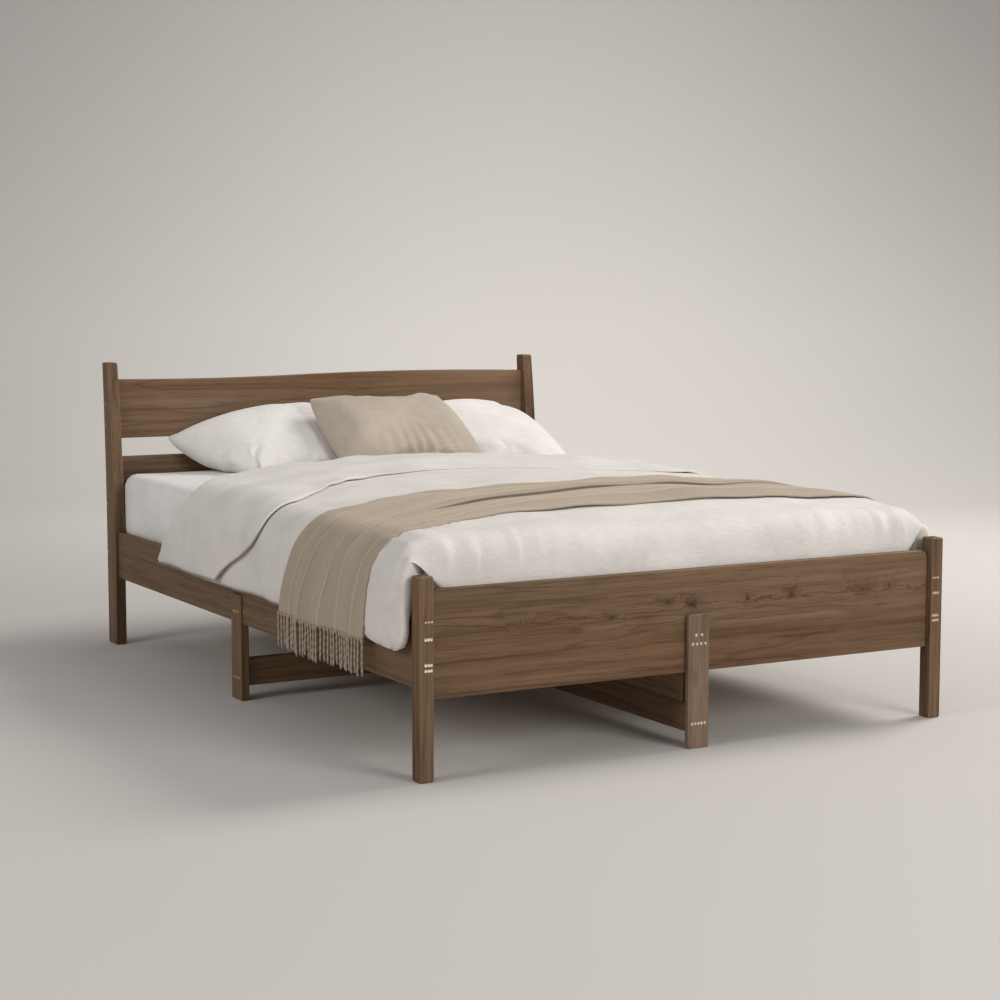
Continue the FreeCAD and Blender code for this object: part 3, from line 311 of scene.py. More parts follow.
def cloth(name, color, pitch=0.0016, crumple=0.35, shade=0.10):
    """Woven cloth with small crumples, faint mottling and a soft sheen."""
    graph = Graph(name, 0.85, specular=0.2, sheen=0.15)
    mottle = graph.noise(graph.place((7, 7, 7)), 5.0, 0.6)
    slubs = graph.noise(graph.place((45, 240, 240)), 2.0)
    tone = graph.math("ADD", graph.math("MULTIPLY", mottle, 0.6), graph.math("MULTIPLY", slubs, 0.4))
    low = tuple(part * (1 - shade) for part in color)
    high = tuple(min(part * (1 + shade), 0.9) for part in color)
    graph.color(graph.ramp(tone, ((0.35, low), (0.65, high))))
    creases = graph.noise(graph.place((26, 26, 26)), 6.0, 0.62)
    under = graph.bump(creases, crumple, 0.006)
    graph.bump(weave(graph, pitch), 0.25, 0.0004, under)
    return graph.material


RIB_PITCH = 0.006
WOOL_SHEEN = (1.0, 0.86, 0.70, 1)
# Half width and strength of the painted highlight lines along the throw's ridges
HIGHLIGHT_HALF_WIDTH, HIGHLIGHT_STRENGTH = (0.001, 0.0045), 0.55


def knit(name, color, lines):
    """A fine ribbed knit with its ribs, woolly mottling, and a painted highlight along a few lines running
    along the piece, where the throw's ridges rise.
    """
    graph = Graph(name, 0.95, specular=0.1, sheen=0.3)
    graph.shader.inputs["Sheen Tint"].default_value = WOOL_SHEEN
    flat = graph.add("TexCoord").outputs["UV"]
    over = graph.add("SeparateXYZ", {0: flat}).outputs[0]
    jitter = graph.math("MULTIPLY", graph.noise(graph.place((30, 30, 30)), 3.0), 3.0)
    ribs = graph.math("SINE", graph.math("ADD", graph.math("MULTIPLY", over, math.tau / RIB_PITCH), jitter))
    wool = graph.noise(graph.place((320, 320, 320)), 3.0)
    panels = graph.noise(graph.add("Mapping", {"Vector": flat, "Scale": (11, 1.2, 1)}).outputs[0], 2.0)
    mottle = graph.math("ADD", graph.math("MULTIPLY", wool, 0.5), graph.math("MULTIPLY", panels, 0.5))
    tone = graph.math("ADD", graph.math("MULTIPLY", ribs, 0.04), mottle)
    low = tuple(part * 0.82 for part in color)
    high = tuple(part * 1.12 for part in color)
    body = graph.ramp(tone, ((0.34, low), (0.66, high)))
    # Painted highlight: pale lines along the crests of the throw's raised ridges
    line = 0.0
    for place in lines:
        off = graph.math("ABSOLUTE", graph.math("SUBTRACT", over, place))
        values = {"Value": off, "From Min": HIGHLIGHT_HALF_WIDTH[0], "From Max": HIGHLIGHT_HALF_WIDTH[1],
                  "To Min": HIGHLIGHT_STRENGTH, "To Max": 0.0}
        line = graph.math("MAXIMUM", line, graph.add("MapRange", values).outputs[0])
    graph.color(graph.mix(line, body, tuple(part * 1.45 for part in color)))
    under = graph.bump(ribs, 0.22, 0.001)
    graph.bump(wool, 0.3, 0.001, under)
    return graph.material


THROW_LINE_SHARES = (0.12, 0.31, 0.48, 0.71, 0.86)
throw_middle = (throw_low[1] + throw_high[1]) / 2
throw_half = (throw_high[1] - throw_low[1]) / 2
throw_lines = [2 * throw_half * share for share in THROW_LINE_SHARES]
DUVET_WHITE = (0.70, 0.668, 0.63)
SHEET_WHITE = (0.80, 0.787, 0.77)
PILLOW_WHITE = (0.76, 0.735, 0.705)
THROW_TAUPE = (0.395, 0.33, 0.26)
CUSHION_BEIGE = (0.45, 0.385, 0.315)
TICKING = (0.72, 0.69, 0.64)
WEBBING = (0.62, 0.57, 0.48)

duvet_cloth = cloth("washed_cotton", DUVET_WHITE)
sheet_cloth = cloth("sheet_cotton", SHEET_WHITE, crumple=0.2)
pillow_cloth = cloth("pillow_cotton", PILLOW_WHITE, crumple=0.22)
cushion_cloth = cloth("cushion_linen", CUSHION_BEIGE, pitch=0.0026, crumple=0.3, shade=0.14)
throw_cloth = knit("throw_knit", THROW_TAUPE, throw_lines)
ticking = cloth("mattress_ticking", TICKING, pitch=0.004, crumple=0.2, shade=0.06)
webbing = cloth("tape_webbing", WEBBING, pitch=0.003, crumple=0.05, shade=0.18)


# Mesh helpers

WELD_DISTANCE = 0.0005
TINY = 1e-9


def waves(a, b, length, seed, count=9):
    """A smooth uneven field over two coordinates, about -1 to 1, with swells of about the given length."""
    random = np.random.default_rng(seed)
    total = np.zeros(np.broadcast(a, b).shape)
    for _ in range(count):
        angle, phase = random.uniform(0, math.tau, 2)
        pace = math.tau / (length * random.uniform(0.65, 1.6))
        total = total + np.sin(pace * (a * math.cos(angle) + b * math.sin(angle)) + phase)
    return total / math.sqrt(count)


def smooth(value, start, end):
    """0 before start, 1 after end, eased between."""
    share = np.clip((value - start) / (end - start), 0, 1)
    return share * share * (3 - 2 * share)


def grid_faces(rows, columns, wrap=False):
    """Quads of a grid of points, joined back to its first column if it wraps."""
    index = np.arange(rows * columns).reshape(rows, columns)
    if wrap:
        index = np.concatenate([index, index[:, :1]], axis=1)
    corners = (index[:-1, :-1], index[:-1, 1:], index[1:, 1:], index[1:, :-1])
    return np.stack(corners, axis=-1).reshape(-1, 4).tolist()


def new_piece(name, points, faces, material, body, slot, *replaced):
    """A smooth mesh piece that rides on a body and stands for CAD nodes."""
    mesh = bpy.data.meshes.new(name)
    mesh.from_pydata(np.asarray(points).reshape(-1, 3).tolist(), [], faces)
    mesh.polygons.foreach_set("use_smooth", [True] * len(mesh.polygons))
    mesh.materials.append(material)
    mesh.update()
    piece = bpy.data.objects.new(name, mesh)
    scene.collection.objects.link(piece)
    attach(piece, body)
    if replaced:
        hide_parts(*replaced)
    return piece


def add_thickness(piece, thickness):
    shell = piece.modifiers.new("thickness", "SOLIDIFY")
    shell.thickness = thickness
    shell.offset = 1


def rounded_box(low, high, corner, edge, step):
    """Points and faces of a box with upright corners and level edges rounded, in even squares."""
    size = high - low
    counts = np.maximum((size / step).astype(int), 2)
    points, faces = [], []
    for axis in range(3):
        first, second = [other for other in range(3) if other != axis]
        for side in (0, 1):
            grid = np.zeros((counts[first] + 1, counts[second] + 1, 3))
            grid[..., first] = np.linspace(0, size[first], counts[first] + 1)[:, None]
            grid[..., second] = np.linspace(0, size[second], counts[second] + 1)[None, :]
            grid[..., axis] = side * size[axis]
            quads = np.array(grid_faces(counts[first] + 1, counts[second] + 1)) + len(points)
            flip = (side == 0) == (axis != 1)
            faces += (quads[:, ::-1] if flip else quads).tolist()
            points += grid.reshape(-1, 3).tolist()
    points = np.array(points)
    flat = np.clip(points[:, :2], corner, size[:2] - corner)
    out = points[:, :2] - flat
    reach = np.maximum(np.abs(out).max(axis=1), TINY)
    turned = out * (reach / np.maximum(np.linalg.norm(out, axis=1), TINY))[:, None]
    height = np.clip(points[:, 2], edge, size[2] - edge)
    rise = points[:, 2] - height
    inset = np.maximum(reach - (corner - edge), 0)
    ring = np.maximum(np.maximum(inset, np.abs(rise)), TINY)
    round_share = ring / np.maximum(np.hypot(inset, rise), TINY)
    away = np.where(reach > corner - edge, corner - edge + inset * round_share, reach)
    points[:, :2] = flat + turned * (away / reach)[:, None]
    points[:, 2] = height + rise * round_share
    return points + low, faces


def merged(piece):
    """Welds the points of a piece that lie together."""
    work = bmesh.new()
    work.from_mesh(piece.data)
    bmesh.ops.remove_doubles(work, verts=work.verts, dist=WELD_DISTANCE)
    bmesh.ops.recalc_face_normals(work, faces=work.faces)
    work.to_mesh(piece.data)
    work.free()
    piece.data.polygons.foreach_set("use_smooth", [True] * len(piece.data.polygons))


# Camera, at the photograph's place

camera = bpy.data.objects.new("camera", bpy.data.cameras.new("camera"))
scene.collection.objects.link(camera)
CAMERA_PLACE = (-2.790, -5.107, 1.103)
CAMERA_YAW, CAMERA_PITCH = 0.5079, 0.1041
CAMERA_LENS, CAMERA_SENSOR = 75.6, 36.0
camera.location = CAMERA_PLACE
camera.rotation_euler = (math.pi / 2 - CAMERA_PITCH, 0, -CAMERA_YAW)
camera.data.lens = CAMERA_LENS
camera.data.sensor_width = CAMERA_SENSOR
scene.camera = camera


# Stage and light

FLOOR_GREY = (0.60, 0.575, 0.55)
WORLD_WHITE, WORLD_STRENGTH = (1.0, 0.985, 0.965, 1), 0.34
DAYLIGHT, WARM_LIGHT, FRONT_LIGHT = (1, 0.985, 0.97), (1, 0.975, 0.94), (1, 0.98, 0.96)


def stage():
    """A pale floor that sweeps up into a backdrop behind the bed."""
    near, far, radius, height, half = -9.0, 4.5, 3.0, 7.0, 14.0
    path = [(near, 0.0), (far, 0.0)]
    turns = np.linspace(0, math.pi / 2, 25)[1:]
    path += [(far + radius * math.sin(turn), radius * (1 - math.cos(turn))) for turn in turns]
    path.append((far + radius, height))
    along = np.array([math.sin(CAMERA_YAW), math.cos(CAMERA_YAW)])
    across = np.array([math.cos(CAMERA_YAW), -math.sin(CAMERA_YAW)])
    points = [(*(along * run + across * side), rise) for run, rise in path for side in (-half, half)]
    mesh = bpy.data.meshes.new("floor")
    mesh.from_pydata(points, [], grid_faces(len(path), 2))
    mesh.polygons.foreach_set("use_smooth", [True] * len(mesh.polygons))
    graph = Graph("studio_floor", 0.9, specular=0.1)
    patches = graph.noise(graph.place((0.7, 0.7, 0.7)), 3.0)
    paper = graph.ramp(patches, ((0.3, tuple(0.985 * part for part in FLOOR_GREY)), (0.7, FLOOR_GREY)))
    # Painted shade: the backdrop grows darker towards its top, as if less light reached it
    level = graph.axes()[2]
    rise = graph.add("MapRange", {"Value": level, "From Min": 0.8, "From Max": 3.2}).outputs[0]
    graph.color(graph.mix(rise, paper, tuple(0.75 * part for part in FLOOR_GREY)))
    mesh.materials.append(graph.material)
    floor = bpy.data.objects.new("floor", mesh)
    scene.collection.objects.link(floor)


def area_light(name, place, target, size, power, color):
    lamp = bpy.data.lights.new(name, "AREA")
    lamp.shape = "DISK"
    lamp.size = size
    lamp.energy = power
    lamp.color = color
    light = bpy.data.objects.new(name, lamp)
    light.location = place
    light.rotation_euler = (Vector(target) - Vector(place)).to_track_quat("-Z", "Y").to_euler()
    scene.collection.objects.link(light)


stage()
area_light("key", (4.2, -0.2, 4.4), (0, 0.1, 0.3), 2.6, 220, WARM_LIGHT)
area_light("front", (1.0, -6.0, 2.4), (0, -0.5, 0.3), 2.6, 146, FRONT_LIGHT)
area_light("fill", (-7.0, -1.5, 3.4), (0, -0.2, 0.4), 3.0, 144, DAYLIGHT)
area_light("backdrop", (1.9, 3.2, 3.4), (3.2, 5.7, 0.3), 2.6, 78, DAYLIGHT)
world = bpy.data.worlds.new("studio")
world.use_nodes = True
background = world.node_tree.nodes["Background"]
background.inputs["Color"].default_value = WORLD_WHITE
background.inputs["Strength"].default_value = WORLD_STRENGTH
scene.world = world


# Mattress, fitted sheet and slat tapes

MATTRESS_CORNER, MATTRESS_EDGE, MATTRESS_STEP = 0.055, 0.046, 0.025
QUILT_PITCH, QUILT_DEPTH = 0.14, 0.004
SHEET_CORNER, SHEET_EDGE, SHEET_STEP = 0.034, 0.034, 0.016
SHEET_HEM_DROP, SHEET_FOOT_PULL = 0.012, 0.013
SIDE_BULGE, HEAD_BULGE, BULGE_EASE = 0.009, 0.021, 0.07
PUCKER_RISE, PUCKER_PITCH, PUCKER_SLANT = 0.0016, 0.042, 0.35
SHEET_RUFFLE = 0.0012
TAPE_ROWS, TAPE_COLUMNS, TAPE_DIP, TAPE_CLEAR = 400, 5, 0.004, 0.0001
rail_top = span("side_rail_left")[1][2]
post_front = span("head_post_left")[0][1]


def mattress():
    """A mattress with diamond quilting on its upper and lower faces."""
    points, faces = rounded_box(mattress_low, mattress_high, MATTRESS_CORNER, MATTRESS_EDGE, MATTRESS_STEP)
    middle = (mattress_low[2] + mattress_high[2]) / 2
    level = smooth(np.abs(points[:, 2] - middle), 0.06, 0.1)
    quilt = np.abs(np.sin((points[:, 0] + points[:, 1]) * math.pi / QUILT_PITCH)
                   * np.sin((points[:, 0] - points[:, 1]) * math.pi / QUILT_PITCH))
    points[:, 2] -= np.sign(points[:, 2] - middle) * QUILT_DEPTH * level * (1 - np.sqrt(quilt))
    piece = new_piece("mattress_body", points, faces, ticking, "mattress", "mattress_ticking", "mattress")
    merged(piece)


def fitted_sheet():
    """The fitted sheet, pulled over the mattress.

    It swells a little above the rails, puckers at the corners and draws in under the duvet at the foot."""
    low, high = sheet_low.copy(), sheet_high.copy()
    low[2] -= SHEET_HEM_DROP
    points, faces = rounded_box(low, high, SHEET_CORNER, SHEET_EDGE, SHEET_STEP)
    keep = [face for face in faces if points[face][:, 2].max() > low[2] + 1e-4]
    share = points[:, :2] / high[:2]
    below_top = smooth(high[2] - points[:, 2], 0.0, BULGE_EASE)
    swell = smooth(points[:, 2], rail_top, rail_top + 0.05) * below_top
    clear_of_posts = smooth(post_front - 0.03 - points[:, 1], 0.0, 0.12)
    at_side = share[:, 0] * smooth(np.abs(share[:, 0]), 0.9, 1.0)
    points[:, 0] += at_side * SIDE_BULGE * swell * clear_of_posts
    points[:, 1] += smooth(share[:, 1], 0.9, 1.0) * HEAD_BULGE * below_top
    points[:, 0] -= share[:, 0] * SHEET_FOOT_PULL * smooth(-share[:, 1], 0.88, 0.98)
    corner = smooth(np.abs(share).min(axis=1), 0.86, 0.98) * smooth(points[:, 2], 0.34, 0.44)
    pull = np.sin((points[:, 2] + np.abs(points[:, 0]) * PUCKER_SLANT) * math.tau / PUCKER_PITCH)
    out = points - (low + high) / 2
    out /= np.linalg.norm(out, axis=1)[:, None]
    points += out * (PUCKER_RISE * corner * np.maximum(pull, 0))[:, None]
    ruffle = 1 + waves(points[:, 0], points[:, 1], 0.3, 4)
    points[:, 2] += SHEET_RUFFLE * smooth(points[:, 2], 0.5, 0.52) * ruffle
    piece = new_piece("sheet_cover", points, keep, sheet_cloth, "mattress", "sheet_cotton", "fitted_sheet")
    merged(piece)


def slat_tape(side):
    """A woven tape over the slats that dips a little between them."""
    low, high = span(f"slat_tape_{side}")
    slat_low, slat_high = span("slat_01")
    next_low, _ = span("slat_02")
    pitch, width = next_low[1] - slat_low[1], slat_high[1] - slat_low[1]
    y = np.linspace(low[1], high[1], TAPE_ROWS)
    gap_place = np.mod(y - slat_low[1], pitch)
    dip = np.where(gap_place > width, np.sin((gap_place - width) / (pitch - width) * math.pi), 0)
    x = np.linspace(low[0], high[0], TAPE_COLUMNS)
    z = low[2] + TAPE_CLEAR - TAPE_DIP * dip
    points = np.stack(np.broadcast_arrays(x[None, :], y[:, None], z[:, None]), axis=-1)
    piece = new_piece(f"tape_{side}", points, grid_faces(len(y), len(x)), webbing, "frame", "tape_webbing",
                      f"slat_tape_{side}")
    add_thickness(piece, high[2] - low[2] - 2 * TAPE_CLEAR)


mattress()
fitted_sheet()
slat_tape("left")
slat_tape("right")


# The line that the bedding follows across the bed, from the left hem over the mattress to the right hem

LEG_GAP, LAYER_GAP = 0.003, 0.0005
DUVET_SIDE, DUVET_EDGE_THICKNESS, DUVET_CROWN = 0.020, 0.022, 0.032
BROAD_PUFF, SMALL_PUFF = 0.003, 0.0016
FOLD_DEPTH, FOLD_SEED = 0.010, 41
CREASE_RISE, CREASE_PITCH = 0.0016, 0.032
SHOULDER = 0.085
FOOT_RADIUS = MATTRESS_EDGE + 0.0025
FOOT_TUCK_BOTTOM = 0.405
SIDE_CORNER = 0.045
CORNER_FILL, CORNER_RECESS, CORNER_THIN = 0.036, 0.6, 0.006
FOOT_DROOP = 0.016

inner_half = LEG_GAP - side_leg_low[0]
inner_top = sheet_high[2] + LAYER_GAP
flat_half = inner_half - SHOULDER
bend_length = SHOULDER * math.pi / 2
hem_reach = flat_half + bend_length + (inner_top - SHOULDER - duvet_low[2])
foot_bend = sheet_low[1] - LAYER_GAP + FOOT_RADIUS
foot_run = FOOT_RADIUS * math.pi / 2 + (inner_top - FOOT_RADIUS - FOOT_TUCK_BOTTOM)
side_foot_end = duvet_low[1] + 0.003


def across(s):
    """Place (x, z) and outward normal (x, z) of the duvet's underside at a distance s from the middle."""
    side, far = np.sign(s), np.abs(s)
    angle = np.clip((far - flat_half) / SHOULDER, 0, math.pi / 2)
    hang = np.maximum(far - flat_half - bend_length, 0)
    x = side * (np.minimum(far, flat_half) + SHOULDER * np.sin(angle))
    z = inner_top - SHOULDER * (1 - np.cos(angle)) - hang
    return x, z, side * np.sin(angle), np.cos(angle)


def shoulder_pull(s, middle, inside, outside, right_share):
    """How far the cloth slips towards the foot: 1 at a middle near the left shoulder, less on the right."""
    far = np.abs(s) - middle
    pull = np.exp(-(far / np.where(far < 0, inside, outside)) ** 2)
    return pull * np.where(s < 0, 1.0, right_share)


def loft(s, y):
    """Thickness of the duvet's single layer: domed over the mattress, thinner at the sides and the foot.

    It is thinnest at the right foot corner."""
    dome = DUVET_CROWN * np.clip(1 - (s / flat_half) ** 2, 0, 1)
    rise = smooth(y, foot_bend - 0.02, foot_bend + 0.26)
    hanging = smooth(np.abs(s), flat_half, hem_reach)
    edge = DUVET_EDGE_THICKNESS + (DUVET_SIDE - DUVET_EDGE_THICKNESS) * hanging
    puff = BROAD_PUFF * waves(s, y, 0.42, 11) + SMALL_PUFF * waves(s, y * 1.6, 0.15, 12)
    thin = CORNER_THIN * smooth(s, flat_half - 0.2, flat_half) * smooth(foot_bend + 0.16 - y, 0.0, 0.16)
    return edge - thin + dome * rise + puff * smooth(hem_reach - np.abs(s), 0.0, 0.2)


def side_folds(s, y):
    """Outward folds of a hanging side, growing towards its hem."""
    grow = smooth(np.abs(s), flat_half + 0.4 * bend_length, hem_reach) ** 1.3
    side = np.sign(s)
    fold = waves(y, side * 3.0, 0.30, FOLD_SEED, 5) + 0.5 * waves(y, side * 5.0, 0.13, FOLD_SEED + 1, 5)
    return FOLD_DEPTH * grow * np.clip(0.55 + 0.6 * fold, 0, 1.4)


def foot_creases(s, path):
    """Short creases along the bed on the duvet's upper face, where it turns down at the foot."""
    near = np.exp(-((path - foot_bend - 0.03) / 0.11) ** 2) * (0.4 + smooth(np.abs(s), 0.25, 0.6))
    return CREASE_RISE * near * waves(s, 0.18 * path, CREASE_PITCH, 33)


def duvet_point(s, path, rise):
    """A point of the duvet at s across and path along it, rise above its underside.

    Past the foot its middle tucks down; its sides hang, with their upper foot corners filled inwards."""
    x, z, normal_x, normal_z = across(s)
    beyond = np.maximum(foot_bend - path, 0)
    turn = np.minimum(beyond / FOOT_RADIUS, math.pi / 2)
    drop = FOOT_RADIUS * (1 - np.cos(turn)) + np.maximum(beyond - FOOT_RADIUS * math.pi / 2, 0)
    tucked_y = np.where(beyond > 0, foot_bend - FOOT_RADIUS * np.sin(turn), path)
    tucked = np.stack([x + normal_x * rise, tucked_y - np.sin(turn) * normal_z * rise,
                       z - drop + normal_z * np.cos(turn) * rise], axis=-1)
    near_hem = np.clip((np.abs(s) - hem_reach + SIDE_CORNER) / SIDE_CORNER, 0, 1)
    corner_end = side_foot_end + SIDE_CORNER * (1 - np.sqrt(1 - near_hem ** 2))
    short = foot_bend - beyond * (foot_bend - corner_end) / foot_run
    inward = CORNER_FILL * smooth(beyond, 0.0, 0.6 * foot_run)
    inward = inward * np.clip(1 - rise / DUVET_EDGE_THICKNESS, 0, 1)
    inward = inward * smooth(z, rail_top + 0.02, rail_top + 0.08)
    droop = FOOT_DROOP * smooth(foot_bend + 0.25 - path, 0.0, 0.2)
    droop = droop * smooth(np.abs(s), flat_half + bend_length, hem_reach)
    hung_y = np.where(beyond > 0, short, path) + CORNER_RECESS * inward
    hung = np.stack([x + normal_x * (rise - inward), hung_y, z - droop + normal_z * rise], axis=-1)
    share = smooth(np.abs(s), flat_half - 0.02, flat_half + 0.75 * bend_length)[..., None]
    return tucked * (1 - share) + hung * share


# Duvet

FOLD_LINE, FLAP_END = 0.468, 0.10
FLAP_THICKNESS, FLAP_GAP = 0.014, 0.003
FLAP_HEM_LIFT, FOLD_TIP = 0.013, 0.028
FOLD_SLIP, FLAP_SLIP = 0.145, 0.31
SEAM_WIDTH, PLEAT_RISE, PLEAT_PITCH = 0.035, 0.006, 0.05
DUVET_STEP = 0.012


def duvet():
    """The duvet as one closed form: tucked in at the foot, folded over and turned back at the head."""
    s = np.linspace(-hem_reach, hem_reach, int(2 * hem_reach / DUVET_STEP))[:, None]
    slope = smooth(np.abs(s), flat_half, hem_reach)
    fold_line = FOLD_LINE - FOLD_SLIP * shoulder_pull(s, 0.73, 0.16, 0.10, 0.4)
    fold_line = fold_line + 0.006 * waves(s, 0.0, 0.5, 21)
    fold_line = fold_line + FOLD_TIP * smooth(np.abs(s), hem_reach - 0.06, hem_reach) ** 2
    flap_end = FLAP_END - FLAP_SLIP * shoulder_pull(s, 0.75, 0.28, 0.13, 0.4)
    flap_end = flap_end + 0.010 * waves(s, 0.0, 0.45, 22)
    hem = np.sqrt(np.clip(1 - (1 - np.clip((hem_reach - np.abs(s)) / SEAM_WIDTH, 0, 1)) ** 2, 0, 1))
    long_run = np.linspace(0, 1, int((FOLD_LINE - foot_bend + foot_run) / DUVET_STEP))[None, :]
    flap_run = np.linspace(0, 1, int((FOLD_LINE - FLAP_END) / DUVET_STEP))[None, :]
    start = foot_bend - foot_run
    lower = start + long_run * (fold_line - start)
    upper = fold_line + flap_run * (flap_end - fold_line)

    def layer(path, base, thickness, top):
        """One face of a layer, closed to a seam at the hems and with pleats where it tucks in."""
        middle = base + thickness / 2
        pleat = np.exp(-((path - foot_bend + 0.06) / 0.05) ** 2) * smooth(np.abs(s), 0.2, 0.6)
        gathers = PLEAT_RISE * pleat * waves(s, 0.0, PLEAT_PITCH, 31) + top * foot_creases(s, path)
        return middle + (top - 0.5) * thickness * hem + side_folds(s, path) + gathers

    thick = loft(s, lower)
    under, over = layer(lower, 0.0, thick, 0), layer(lower, 0.0, thick, 1)
    # The flap lies closer to the layer below on the top and the right of the bed
    settled = smooth(s, -0.45, 0.0) * smooth(0.66 - s, 0.0, 0.1) * smooth(flap_run, 0.45, 1.0)
    flap_base = loft(s, upper) + FLAP_GAP * (1 - 0.9 * settled) + 0.006 * slope
    puff = FLAP_THICKNESS * (1 - 0.5 * smooth(flap_run, 0.6, 1.0) - 0.4 * settled)
    puff = puff + 0.002 * (1 - settled) * waves(s, upper, 0.2, 51)
    flap_under, flap_over = layer(upper, flap_base, puff, 0), layer(upper, flap_base, puff, 1)
    turn = np.linspace(0, math.pi, 9)[None, 1:-1]
    low, high = under[:, -1:], flap_over[:, :1]
    roll_path = fold_line + 0.55 * (high - low) * np.sin(turn)
    roll = (low + high) / 2 - (high - low) / 2 * np.cos(turn)
    low, high = flap_under[:, -1:], flap_over[:, -1:]
    end_path = flap_end - 0.5 * (high - low) * np.sin(turn)
    end = (low + high) / 2 + (high - low) / 2 * np.cos(turn)
    path = np.concatenate([lower, roll_path, upper, end_path, upper[:, ::-1], lower[:, ::-1]], axis=1)
    rise = np.concatenate([under, roll, flap_over, end, flap_under[:, ::-1], over[:, ::-1]], axis=1)
    on_flap, off_flap = 1 + 0 * upper, 0 * lower
    flap = np.concatenate([off_flap, smooth(turn, 0, math.pi) + 0 * roll_path, on_flap, 1 + 0 * end_path,
                           on_flap, off_flap], axis=1)
    points = duvet_point(s * (1 - flap * FLAP_HEM_LIFT / hem_reach), path, rise)
    piece = new_piece("duvet_cover", points, grid_faces(*path.shape, wrap=True), duvet_cloth, "duvet",
                      "duvet_cotton", "duvet")
    merged(piece)
    return piece


duvet_piece = duvet()


# Throw

THROW_CLEAR, THROW_THICKNESS = 0.0015, 0.004
THROW_STEP, THROW_FINE_STEP = 0.010, 0.003
RIDGE_RISE, RIDGE_WIDTH = 0.004, 0.007
LAP_PLACE, LAP_LENGTH, LAP_RISE = 0.40, 0.026, 0.008
EDGE_LIFT, STACK_RISE = 0.005, 0.007
THROW_SLIP, THROW_SPREAD = 0.07, 0.035
throw_reach = hem_reach + duvet_low[2] - throw_low[2]


def throw():
    """The throw laid across the duvet with raised lines along it and a lap on the top of the bed.

    At the left shoulder it slips towards the foot; on the top its foot edge stands up a little."""
    s = np.linspace(-throw_reach, throw_reach, int(2 * throw_reach / THROW_STEP))[:, None]
    share = np.linspace(0, 1, int(2 * throw_half / THROW_FINE_STEP))[None, :]
    lap = smooth(share, LAP_PLACE - 0.02, LAP_PLACE + 0.02)
    lap = lap * smooth(s, -0.62, -0.35) * smooth(-s, -0.75, -0.5)
    slip = (THROW_SLIP + THROW_SPREAD * share) * shoulder_pull(s, 0.69, 0.2, 0.14, 0.3)
    path = throw_middle + (2 * share - 1) * throw_half - slip + 0.003 * waves(s, share, 0.5, 61)
    path = path + LAP_LENGTH * (share * lap.max(axis=1, keepdims=True) - lap)
    ridges = 0 * path
    for place in throw_lines:
        off = 2 * throw_half * share - place
        height = RIDGE_RISE * (1 + 0.3 * waves(s, place, 0.4, 80, 4))
        ridges = ridges + height * np.exp(-(off / RIDGE_WIDTH) ** 2)
    soft = 0.0015 * (1 + waves(s, share * 0.5, 0.25, 62))
    inner = np.clip(s, -hem_reach, hem_reach)
    upper_layer = LAP_RISE * lap * smooth(1 - share, 0.0, 0.5)
    on_top = smooth(s, -0.62, -0.3) * smooth(0.72 - s, 0.0, 0.2)
    stack = smooth(s, -0.3, 0.2) * smooth(share, 0.0, 0.12) * smooth(1 - share, 0.0, 0.12)
    lift = on_top * (EDGE_LIFT * smooth(1 - share, 0.5, 1.0) + STACK_RISE * stack)
    rise = loft(inner, path) + side_folds(inner, path) + foot_creases(inner, path) + THROW_CLEAR
    rise = rise + ridges + soft + upper_layer + lift
    x, z, normal_x, normal_z = across(s)
    points = np.stack([x + normal_x * rise, path, z + normal_z * rise], axis=-1)
    piece = new_piece("throw_cloth", points, grid_faces(*path.shape), throw_cloth, "throw", "throw_knit",
                      "throw")
    corners = np.zeros(len(piece.data.loops), dtype=int)
    piece.data.loops.foreach_get("vertex_index", corners)
    flat = np.stack(np.broadcast_arrays(2 * throw_half * share, s), axis=-1).reshape(-1, 2)
    piece.data.uv_layers.new(name="flat").data.foreach_set("uv", flat[corners].reshape(-1))
    add_thickness(piece, THROW_THICKNESS)
    return piece, points


TASSELS, TASSEL_LENGTH, TASSEL_RADIUS = 32, 0.088, 0.0030
TASSEL_RINGS, TASSEL_SIDES, TASSEL_TURNS = 20, 8, 5.0
TASSEL_SWAY, TASSEL_OVERLAP = (0.0012, 0.003, 0.0006), 0.004


def tassel(root, random):
    """Points of one twisted two-ply tassel hanging from a root."""
    down = np.linspace(0, 1, TASSEL_RINGS)
    around = np.linspace(0, math.tau, TASSEL_SIDES, endpoint=False)
    length = TASSEL_LENGTH * random.uniform(0.92, 1.04)
    sway_x, sway_y, curl = random.normal(0, TASSEL_SWAY)
    centre = np.stack([root[0] + sway_x * down ** 2,
                       root[1] + sway_y * down ** 1.5 + curl * np.sin(down * math.tau),
                       root[2] + TASSEL_OVERLAP - length * down], axis=-1)
    twist = around[None, :] + TASSEL_TURNS * math.pi * down[:, None] + random.uniform(0, math.tau)
    taper = (1 + 0.5 * np.exp(-((down - 0.06) / 0.04) ** 2)) * (1 - 0.5 * smooth(down, 0.92, 1.0))
    ply = TASSEL_RADIUS * taper[:, None] * (1 + 0.22 * np.cos(2 * around[None, :]))
    ring = np.stack([np.cos(twist) * ply, np.sin(twist) * ply, 0 * ply], axis=-1)
    return (centre[:, None, :] + ring).reshape(-1, 3)


def fringe(points):
    """Tassels along both hems of the throw."""
    random = np.random.default_rng(7)
    all_points, faces = [], []
    wall = np.array(grid_faces(TASSEL_RINGS, TASSEL_SIDES, wrap=True))
    for hem in (points[0], points[-1]):
        for place in np.linspace(0.4, len(hem) - 1.4, TASSELS):
            first, share = int(place), place % 1
            root = hem[first] * (1 - share) + hem[first + 1] * share
            start = len(all_points)
            all_points += tassel(root, random).tolist()
            faces += (wall + start).tolist()
            faces.append(list(range(start, start + TASSEL_SIDES))[::-1])
            faces.append(list(range(len(all_points) - TASSEL_SIDES, len(all_points))))
    return new_piece("throw_fringe", all_points, faces, throw_cloth, "throw", "throw_knit")


throw_piece, throw_points = throw()
fringe_piece = fringe(throw_points)


# Pillows and cushion

